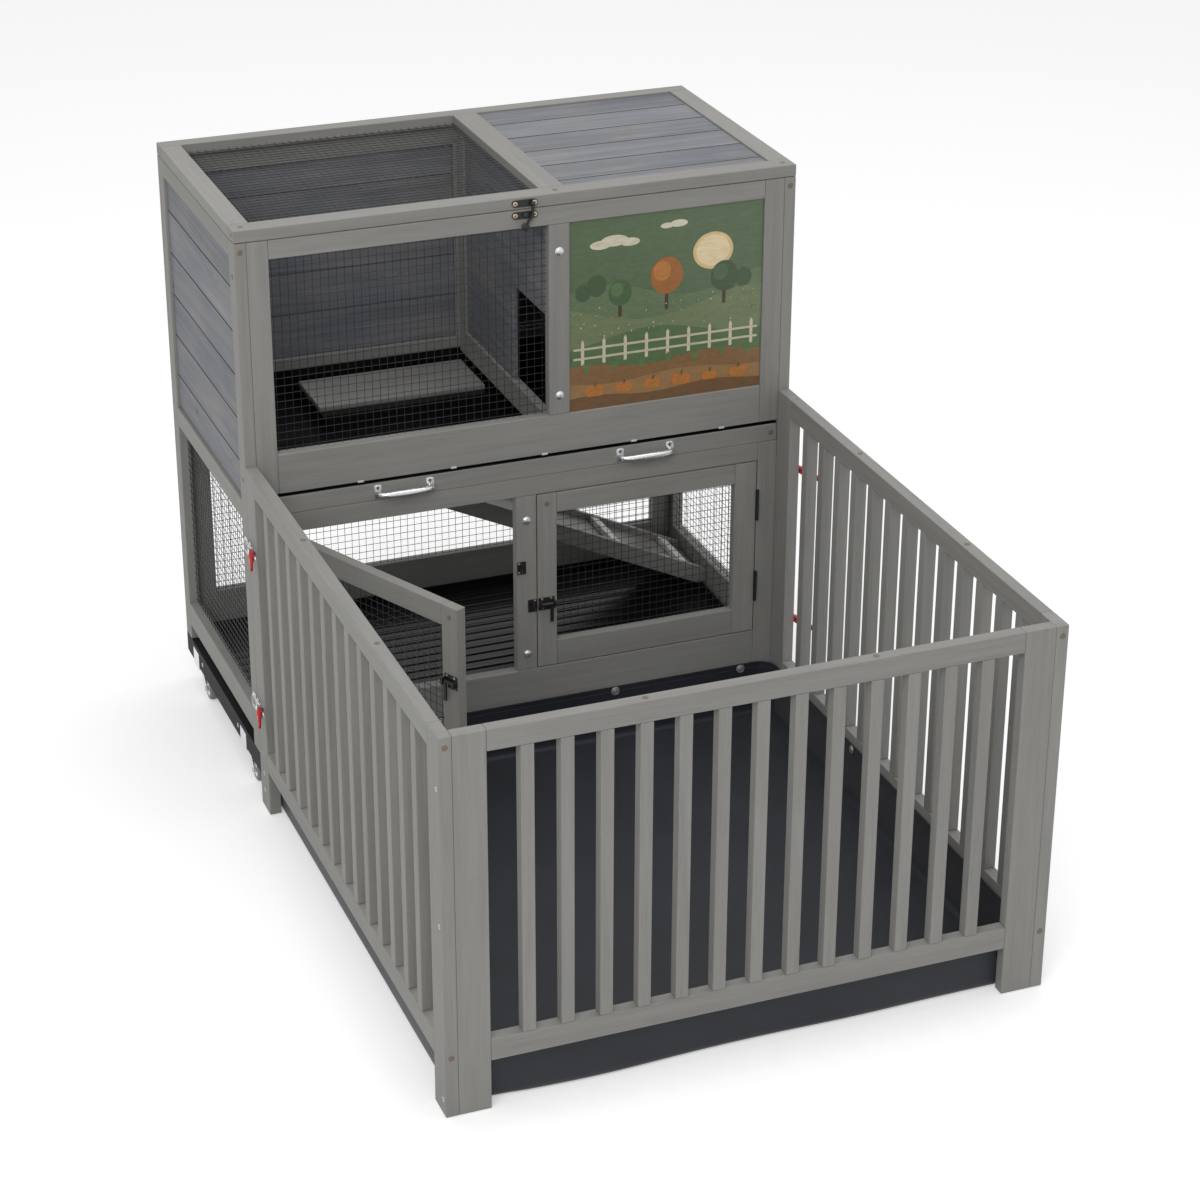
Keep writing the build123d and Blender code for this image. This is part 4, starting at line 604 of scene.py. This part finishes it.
def snap(bm, origin, axis):
    """A press stud: a ring and a low cap."""
    lathe(bm, origin, axis, [(0.0075, 0.0), (0.0075, 0.0007), (0.0070, 0.0012), (0.0061, 0.0013),
                             (0.0056, 0.0008), (0.0050, 0.0008), (0.0047, 0.0017), (0.0036, 0.0023),
                             (0.0018, 0.0025), (0.00002, 0.0025)],
          24, 2)


mat_low, mat_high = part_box("play_mat")
bm = bmesh.new()
stud_x = 0.05775
for x, z in ((stud_x, 0.872), (stud_x, 0.6323), (0.0, 0.424), (0.0, 0.184)):
    dome(bm, (x, FRONT_Y, z), (0, -1, 0), 0.006, 0.0032)
    lathe(bm, (x, FRONT_Y, z), (0, -1, 0), [(0.0071, 0.0), (0.0071, 0.0005), (0.0066, 0.0008)], 20)
# Five small pale blocks at the top edge of the upper tray's gap.
for k in range(5):
    x = 0.032 + 0.153 * (k - 2)
    block(bm, (x - 0.0048, FRONT_Y - 0.0010, 0.5340), (x + 0.0048, FRONT_Y + 0.003, 0.5372), 0.0004, index=1)
snap_z = mat_high.z - 0.0085
for x in (-0.3816, -0.154, 0.154, 0.3816):
    snap(bm, (x, mat_high.y - 0.0032, snap_z), (0, -1, 0))
for side in (-1, 1):
    for back in (0.328, 0.640):
        snap(bm, (side * (mat_high.x - 0.0032), FRONT_Y - back, snap_z), (-side, 0, 0))
piece("bolts_and_snaps", bm, "hutch", BRIGHT, PALE_DASH, SNAP, slot="bright_metal", replaces=("dome_studs",),
      smooth=40)

bm = bmesh.new()
for side in (-1, 1):
    for y, z in ((RUN_FRONT + 0.0095, 0.508), (RUN_FRONT + 0.0095, 0.300), (RUN_FRONT + 0.0095, 0.025),
                 (FRONT_Y - 0.024, 0.065), (FRONT_Y - 0.024, 0.0345),
                 (FRONT_Y + 0.136, 0.0715), (FRONT_Y + 0.367, 0.0715)):
        screw(bm, (side * HALF, y, z), (side, 0, 0), 0.004)
piece("screw_heads", bm, "hutch", STEEL, BROWN_AND_RECESS_SHADE, slot="steel", replaces=("screws",), smooth=40)


def plugs(name, body, spots, replaces=()):
    """Wooden dowel ends, a hair proud of the board."""
    bm = bmesh.new()
    for origin, axis, radius in spots:
        lathe(bm, origin, axis,
              [(radius, 0.0), (radius, 0.00025), (radius * 0.9, 0.0004), (0.00002, 0.00042)], 18)
    return piece(name, bm, body, DOWEL, slot="dowel_wood", replaces=replaces, smooth=40)


spots = []
pitch = 2 * (0.4383 - 0.047) / 14
rail_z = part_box("side_frame_left")[1].z - 0.014
for side in (-1, 1):
    stile = side * (HALF - BOARD / 2)
    spots.append(((stile, FRONT_Y, rail_z), (0, -1, 0), 0.0045))
    spots.append(((stile, RUN_FRONT, FENCE_TOP - 0.016), (0, -1, 0), 0.0045))
    spots.append(((stile, RUN_FRONT, 0.0948), (0, -1, 0), 0.0045))
    low_y, high_y = RUN_FRONT + 0.047, FRONT_Y - 0.0475
    for slat in (4, 10):
        spots.append(((stile, low_y + slat * (high_y - low_y) / 14, FENCE_TOP), (0, 0, 1), 0.0045))
    spots.append(((side * 3 * pitch, RUN_FRONT + BOARD / 2, FENCE_TOP), (0, 0, 1), 0.0045))
    for z in (0.8905, 0.560, 0.190):
        spots.append(((side * HALF, FRONT_Y + 0.0165, z), (side, 0, 0), 0.004))
plugs("dowel_ends", "hutch", spots, ("dowel_plugs",))
spots = [((0.057, FRONT_Y + 0.017, LID_TOP), (0, 0, 1), 0.0045)]
for side in (-1, 1):
    spots.append(((side * 0.441, FRONT_Y + 0.017, LID_TOP), (0, 0, 1), 0.0040))
    spots.append(((side * HALF, FRONT_Y + 0.012, 0.957), (side, 0, 0), 0.0032))
plugs("lid_dowel_ends", "lid", spots)
plugs("tray_dowel_ends", "tray_upper",
      [((side * 0.4266, FRONT_Y, 0.514), (0, -1, 0), 0.0045) for side in (-1, 1)])


# Screws on the black hardware and on the handles
bm = bmesh.new()
for x in (-0.0146, 0.0171):
    screw(bm, (x, FRONT_Y - 0.002, 0.957), (0, -1, 0), 0.0040)
piece("latch_screws", bm, "lid", TAN, BROWN_AND_RECESS_SHADE, slot="steel", smooth=40)
bm = bmesh.new()
for x in (-0.0146, 0.0171):
    screw(bm, (x, FRONT_Y - 0.002, 0.938), (0, -1, 0), 0.0040)
piece("catch_screws", bm, "hutch", TAN, BROWN_AND_RECESS_SHADE, slot="steel", smooth=40)
bm = bmesh.new()
low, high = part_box("tray_handles")
for centre in (-0.204, 0.204):
    for end in (-0.043, 0.043):
        for rise in (-0.0068, 0.0068):
            screw(bm, (centre + end, FRONT_Y - 0.0017, 0.5141 + rise), (0, -1, 0), 0.0023)
piece("handle_screws", bm, "tray_upper", BROWN_AND_RECESS_SHADE, STEEL, slot="steel", smooth=40)


bm = bmesh.new()
for centre in (-0.204, 0.204):
    for end in (-0.043, 0.043):
        outline = []
        for a, b in rounded_rectangle(0.0068, 0.0115, 0.0040, 5):
            waist = 1.0 - 0.26 * math.exp(-((b / 0.0035) ** 2))
            outline.append((centre + end + a * waist, 0.5141 + b))
        layers = []
        for depth, shrink in ((0.0, 1.0), (0.0010, 1.0), (0.0015, 0.93)):
            layers.append([bm.verts.new((centre + end + (x - centre - end) * shrink, FRONT_Y - depth,
                                         0.5141 + (z - 0.5141) * shrink)) for x, z in outline])
        bridge(bm, layers)
    line = [(-0.043, 0.0, 0.0), (-0.043, 0.0045, 0.0007), (-0.0415, 0.0095, 0.0014), (-0.036, 0.0125, 0.0020),
            (-0.028, 0.0136, 0.0023), (-0.014, 0.0138, 0.0025), (0.0, 0.0138, 0.0026)]
    line += [(-x, y, z) for x, y, z in reversed(line[:-1])]
    sizes = [0.0044, 0.0042, 0.0040, 0.0043, 0.0052, 0.0059, 0.0061]
    sizes += list(reversed(sizes[:-1]))
    points = [(centre + x, FRONT_Y - 0.0012 - y, 0.5141 - z) for x, y, z in line]
    tube(bm, points, sizes, 16)
    for step in (-0.0285, 0.0285):
        lathe(bm, (centre + step - 0.0012, FRONT_Y - 0.0148, 0.5118), (1, 0, 0),
              [(0.0046, 0.0), (0.0052, 0.0006), (0.0052, 0.0018), (0.0046, 0.0024)], 16)
piece("tray_handles_cast", bm, "tray_upper", BRIGHT, slot="bright_metal", replaces=("tray_handles",),
      smooth=50)

# Black strip on top of the upper tray's wooden front, painted shade for the dark gap under the frame's rail;
# ribs in both trays' floors
bm = bmesh.new()
block(bm, (-0.4371, FRONT_Y + 0.0015, 0.5288), (0.4371, FRONT_Y + 0.0186, 0.5302), 0.0004)
low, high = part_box("upper_tray")
for step in range(8):
    y = low.y + 0.026 + 0.030 * step
    block(bm, (low.x + 0.012, y - 0.005, low.z + 0.0024), (high.x - 0.012, y + 0.005, low.z + 0.0038), 0.0006)
piece("upper_tray_ribs_and_shade_strip", bm, "tray_upper", PLASTIC, slot="black_plastic", smooth=35)
bm = bmesh.new()
low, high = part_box("lower_tray")
for step in range(15):
    y = low.y + 0.022 + 0.0256 * step
    block(bm, (low.x + 0.014, y - 0.0045, low.z + 0.0099),
          (high.x - 0.014, y + 0.0045, low.z + 0.0112), 0.0006)
piece("lower_tray_ribs", bm, "tray_lower", PLASTIC, slot="black_plastic", smooth=35)


def door_point(side, reach, depth, z):
    """A point on a door: reach from its hinge axis, depth behind it, at a height."""
    turn = DOOR_TURN if side < 0 else 0.0
    x = side * (0.40425 - reach * math.cos(turn)) - depth * math.sin(turn)
    y = FRONT_Y - 0.0031 - side * reach * math.sin(turn) + depth * math.cos(turn)
    return Vector((x, y, z)), Vector((math.sin(turn), -math.cos(turn), 0.0))


# Screws of the slide bolts and their keepers, and a dowel plug on each door
for side, label, level in ((-1, "left", 0.3415), (1, "right", 0.271)):
    bm = bmesh.new()
    for reach in (0.3625, 0.3785):
        for rise in (-0.0082, 0.0082):
            place, axis = door_point(side, reach, 0.0019, level + rise)
            screw(bm, place, axis, 0.0021, 0.0006, index=0, recess=1)
    place, axis = door_point(side, 0.369, 0.0031, 0.448)
    lathe(bm, place, axis, [(0.0042, 0.0), (0.0042, 0.0003), (0.0037, 0.0005), (0.00002, 0.0005)], 18, 2)
    piece(f"door_{label}_screws", bm, f"door_{label}", TAN, BROWN_AND_RECESS_SHADE, DOWEL, slot="steel", smooth=40)
bm = bmesh.new()
for side, level in ((-1, 0.3415), (1, 0.271)):
    for rise in (-0.0080, 0.0080):
        screw(bm, (side * 0.0135, FRONT_Y - 0.0012, level + rise), (0, -1, 0), 0.0020, 0.0006)
piece("keeper_screws", bm, "hutch", TAN, BROWN_AND_RECESS_SHADE, slot="steel", smooth=40)

# Hook: its pivot head, the post that it closes on and its turned knob
bm = bmesh.new()
dome(bm, (0.012, FRONT_Y - 0.0092, 0.957), (0, -1, 0), 0.0030, 0.0012)
lathe(bm, (-0.0003, FRONT_Y - 0.0084, 0.921), (0, -1, 0),
      [(0.0059, 0.0), (0.0063, 0.0006), (0.0063, 0.0014), (0.0052, 0.0022), (0.0044, 0.0020),
       (0.0032, 0.0026), (0.00002, 0.0028)],
      24)
piece("hook_knob", bm, "hook", BLACK, slot="black_metal", smooth=40)
bm = bmesh.new()
dome(bm, (0.002, FRONT_Y - 0.0045, 0.938), (0, -1, 0), 0.0048, 0.0022)
piece("catch_post_cap", bm, "hutch", BLACK, slot="black_metal", smooth=40)


# Casters: turned wheels, axle heads
for number in range(1, 5):
    low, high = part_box(f"caster_wheel_{number}")
    centre = (low + high) / 2
    bm = bmesh.new()
    half = 0.0075
    tread = [(0.0029, -half + 0.0012), (0.0125, -half + 0.0012), (0.0132, -half), (0.0160, -half),
             (0.0185, -half + 0.0011), (0.0199, -half + 0.0034), (0.0200, 0.0),
             (0.0199, half - 0.0034), (0.0185, half - 0.0011), (0.0160, half), (0.0132, half),
             (0.0125, half - 0.0012), (0.0029, half - 0.0012)]
    lathe(bm, centre, (1, 0, 0), tread, 40, 0)
    for side in (-1, 1):
        disc = [(0.0128, 0.0), (0.0128, 0.0006), (0.0112, 0.0011), (0.0085, 0.0004), (0.0058, 0.0004),
                (0.0045, 0.0010),
                (0.0030, 0.0010)]
        lathe(bm, centre + Vector((side * (half - 0.0013), 0, 0)), (side, 0, 0), disc, 32, 1)
    piece(f"wheel_{number}_turned", bm, f"wheel_{number}", WHEEL, BRIGHT, slot="wheel_plastic",
          replaces=(f"caster_wheel_{number}",), smooth=35)
    bm = bmesh.new()
    for side in (-1, 1):
        dome(bm, (centre.x + side * 0.0110, centre.y, centre.z), (side, 0, 0), 0.0042, 0.0018)
    piece(f"axle_heads_{number}", bm, f"swivel_{number}", STEEL, slot="steel", smooth=40)


# Toggle latches: folded steel lever with a red grip, bent wire bail
number = 0
for side in (-1, 1):
    for level in (0.185, 0.457):
        number += 1
        pivot = Vector((side * (HALF + 0.005), FRONT_Y - 0.022, level))
        throw_y = pivot.y - 0.007
        bm = bmesh.new()
        for y, radius in ((pivot.y, 0.0032), (throw_y, 0.0032)):
            lathe(bm, (pivot.x, y, level - 0.005), (0, 0, 1),
                  [(0.0013, 0.0), (radius - 0.0004, 0.0), (radius, 0.0004), (radius, 0.0096),
                   (radius - 0.0004, 0.010),
                   (0.0013, 0.010)], 18)
        for z in (-0.005, 0.0036):
            block(bm, (pivot.x - 0.0030, throw_y - 0.007, level + z),
                  (pivot.x + 0.0030, pivot.y, level + z + 0.0014), 0.0004)
        block(bm, (pivot.x - 0.0014 + side * 0.0016, throw_y - 0.007, level - 0.005),
              (pivot.x + 0.0014 + side * 0.0016, throw_y + 0.001, level + 0.005), 0.0004)
        sections = []
        for share, half_a, half_b in ((0.0, 0.0032, 0.0046), (0.03, 0.0041, 0.0057), (0.18, 0.0048, 0.0060),
                                      (0.34, 0.0047, 0.0059), (0.42, 0.0036, 0.0052), (0.52, 0.0027, 0.0046),
                                      (0.90, 0.0024, 0.0042), (0.985, 0.0020, 0.0036), (1.0, 0.0012, 0.0026)):
            x = pivot.x + side * (0.0003 + 0.0150 * share)
            y = throw_y - 0.0035 - 0.056 * share
            sections.append([bm.verts.new((x + a, y, level + b))
                             for a, b in rounded_rectangle(half_a, half_b, min(half_a, half_b) * 0.6, 3)])
        bridge(bm, sections, index=1)
        piece(f"toggle_lever_{number}_formed", bm, f"lever_{number}", BRIGHT, RED, slot="grip_red",
              replaces=(f"toggle_lever_{number}",), smooth=40)
        low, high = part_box(f"toggle_bail_{number}")
        bm = bmesh.new()
        middle = (low + high) / 2
        loop = [(middle.x, middle.y + a, middle.z + b)
                for a, b in rounded_rectangle((high.y - low.y) / 2 - 0.001,
                                              (high.z - low.z) / 2 - 0.001, 0.0026, 5)]
        tube(bm, loop, 0.00098, 10, True)
        piece(f"toggle_bail_{number}_wire", bm, f"bail_{number}", BRIGHT, slot="bright_metal",
              replaces=(f"toggle_bail_{number}",), smooth=60)


# Floor mat: one sheet folded up into low walls, with a stitched hem
def ripple(x, y, z):
    return (math.sin(9.1 * x + 4.2 * y) * math.sin(7.3 * y - 3.1 * z + 1.3)
            + 0.5 * math.sin(23 * x + 17 * y + 31 * z))


half_x = mat_high.x - 0.0012
half_y = (mat_high.y - mat_low.y) / 2 - 0.0012
middle_y = (mat_high.y + mat_low.y) / 2
wall_top = mat_high.z - 0.0006
bm = bmesh.new()
weave = bm.verts.layers.float_vector.new("weave")
rings = []
steps = 46


def mat_ring(inset, z, radius, calm):
    verts = []
    corner = rounded_rectangle(half_x - inset, half_y - inset, radius, 7)
    points = []
    for k, (a, b) in enumerate(corner):
        nxt = corner[(k + 1) % len(corner)]
        far = math.dist((a, b), nxt)
        parts = steps if far > 0.2 else 1
        points += [(a + (nxt[0] - a) * i / parts, b + (nxt[1] - b) * i / parts) for i in range(parts)]
    for k, (a, b) in enumerate(points):
        swell = ripple(a, b, z)
        reach = math.hypot(a, b)
        pull = calm * (0.0016 + 0.0013 * swell)
        bow = 0.0
        if b < -half_y + inset + 0.004 and abs(a) < 0.385 and z < 0.072:
            bow = (0.0075 * math.exp(-(((a + 0.23) / 0.13) ** 2))
                   + 0.0030 * math.exp(-(((a - 0.16) / 0.10) ** 2)))
            bow *= min(1.0, (0.072 - z) / 0.045) * min(1.0, (0.385 - abs(a)) / 0.05)
        vert = bm.verts.new((a - a / reach * pull, middle_y + b - b / reach * pull - bow, z))
        vert[weave] = Vector((a + z, b + z, 0.0))
        verts.append(vert)
    return verts


for z, calm in ((wall_top, 0.3), (wall_top - 0.012, 0.6), (0.070, 1.0), (0.050, 1.2), (0.030, 1.0),
                (0.014, 0.5)):
    rings.append(mat_ring(0.0, z, 0.030, calm))
for inset, z in ((0.0008, 0.0075), (0.0030, 0.0032), (0.0075, 0.0012), (0.014, 0.0007)):
    rings.append(mat_ring(inset, z, 0.029, 0.1))
bridge(bm, rings, caps=False)
inner = rings[-1]
columns = 44
rows = 44
floor_points = {}
for i in range(1, columns):
    for j in range(1, rows):
        a = -(half_x - 0.014) + 2 * (half_x - 0.014) * i / columns
        b = -(half_y - 0.014) + 2 * (half_y - 0.014) * j / rows
        edge = min(half_x - 0.014 - abs(a), half_y - 0.014 - abs(b))
        lift = 0.0008 + 0.0011 * max(0.0, ripple(a * 0.8, b * 0.8, 0.4)) * min(1.0, edge / 0.05)
        vert = bm.verts.new((a, middle_y + b, lift))
        vert[weave] = Vector((a, b, 0.0))
        floor_points[i, j] = vert
for i in range(1, columns - 1):
    for j in range(1, rows - 1):
        bm.faces.new((floor_points[i, j], floor_points[i + 1, j],
                      floor_points[i + 1, j + 1], floor_points[i, j + 1]))
border = [floor_points[i, 1] for i in range(1, columns)]
border += [floor_points[columns - 1, j] for j in range(2, rows)]
border += [floor_points[i, rows - 1] for i in range(columns - 2, 0, -1)]
border += [floor_points[1, j] for j in range(rows - 2, 1, -1)]
loops = (set(border), set(inner))
rim = [e for e in bm.edges if len(e.link_faces) < 2
       and any(e.verts[0] in loop and e.verts[1] in loop for loop in loops)]
bmesh.ops.bridge_loops(bm, edges=rim)
mat = piece("play_mat_cloth", bm, BODY_OF["play_mat"], FABRIC, slot="mat_fabric", replaces=("play_mat",),
            smooth=70)
bm = bmesh.new()
weave = bm.verts.layers.float_vector.new("weave")
hem = [(a, middle_y + b, wall_top - 0.0004)
       for a, b in rounded_rectangle(half_x - 0.0010, half_y - 0.0010, 0.029, 7)]
tube(bm, hem, 0.0012, 8, True)
stitched = [(a, middle_y + b, wall_top - 0.009)
            for a, b in rounded_rectangle(half_x - 0.0022, half_y - 0.0022, 0.028, 7)]
tube(bm, stitched, 0.0004, 5, True)
hem = piece("play_mat_hem", bm, BODY_OF["play_mat"], FABRIC, slot="mat_fabric", smooth=60)


# Floor, light and camera
def stage_floor():
    bm = bmesh.new()
    bmesh.ops.create_grid(bm, x_segments=8, y_segments=8, size=30.0)
    mesh = bpy.data.meshes.new("floor")
    bm.to_mesh(mesh)
    bm.free()
    floor = bpy.data.objects.new("floor", mesh)
    floor.location = (0, 0, -0.0008)
    bpy.context.scene.collection.objects.link(floor)
    s = Shader("floor", Roughness=0.9, Specular_IOR_Level=0.0)
    s.feed(s.bsdf, "Base Color", (0.80, 0.80, 0.80, 1.0))
    path = s.add("LightPath")
    seen = s.math("MAXIMUM", path.outputs["Is Camera Ray"],
                  s.math("MAXIMUM", path.outputs["Is Glossy Ray"], path.outputs["Is Transmission Ray"]))
    glow = s.add("Emission", {"Color": (1, 1, 1, 1), "Strength": 1.0})
    veil = s.add("AddShader")
    out = s.tree.nodes["Material Output"]
    s.tree.links.new(s.math("MULTIPLY", seen, 0.37), glow.inputs["Strength"])
    s.tree.links.new(s.bsdf.outputs[0], veil.inputs[0])
    s.tree.links.new(glow.outputs[0], veil.inputs[1])
    s.tree.links.new(veil.outputs[0], out.inputs["Surface"])
    mesh.materials.append(s.material)


stage_floor()

world = bpy.data.worlds.new("studio")
bpy.context.scene.world = world
world.use_nodes = True
tree = world.node_tree
background = tree.nodes["Background"]
paths = tree.nodes.new("ShaderNodeLightPath")
seen_rays = tree.nodes.new("ShaderNodeMath")
seen_rays.operation = "MAXIMUM"
tree.links.new(paths.outputs["Is Camera Ray"], seen_rays.inputs[0])
tree.links.new(paths.outputs["Is Transmission Ray"], seen_rays.inputs[1])
sharp_rays = tree.nodes.new("ShaderNodeMath")
sharp_rays.operation = "MAXIMUM"
tree.links.new(seen_rays.outputs[0], sharp_rays.inputs[0])
tree.links.new(paths.outputs["Is Glossy Ray"], sharp_rays.inputs[1])
strength = tree.nodes.new("ShaderNodeMapRange")
tree.links.new(sharp_rays.outputs[0], strength.inputs["Value"])
strength.inputs["To Min"].default_value = 0.62
strength.inputs["To Max"].default_value = 1.0
tree.links.new(strength.outputs["Result"], background.inputs["Strength"])
background.inputs["Color"].default_value = (1, 1, 1, 1)


def area_light(name, place, target, size, power):
    light = bpy.data.lights.new(name, "AREA")
    light.shape = "DISK"
    light.size = size
    light.energy = power
    obj = bpy.data.objects.new(name, light)
    bpy.context.scene.collection.objects.link(obj)
    obj.location = place
    obj.rotation_euler = (Vector(target) - Vector(place)).to_track_quat("-Z", "Y").to_euler()


area_light("key", (-2.4, -3.2, 3.6), (0, -0.1, 0.4), 2.6, 75)
area_light("top", (0.5, 0.3, 4.2), (0, 0, 0.4), 3.0, 45)

YAW, PITCH, ROLL = math.radians(21.35), math.radians(-25.94), math.radians(0.19)
ahead = Vector((math.sin(YAW) * math.cos(PITCH), math.cos(YAW) * math.cos(PITCH), math.sin(PITCH)))
right = Vector((math.cos(YAW), -math.sin(YAW), 0.0))
up = right.cross(ahead)
right_rolled = right * math.cos(ROLL) + up * math.sin(ROLL)
up_rolled = up * math.cos(ROLL) - right * math.sin(ROLL)
camera = bpy.data.objects.new("camera", bpy.data.cameras.new("camera"))
bpy.context.scene.collection.objects.link(camera)
turn = Matrix((right_rolled, up_rolled, -ahead)).transposed().to_4x4()
camera.matrix_world = Matrix.Translation((-1.498, -3.93195, 2.432)) @ turn
camera.data.sensor_width = 36.0
camera.data.lens = 3022.4 / 1200 * 36.0
camera.data.clip_end = 100.0
bpy.context.scene.camera = camera
bpy.context.scene.view_settings.view_transform = "Standard"
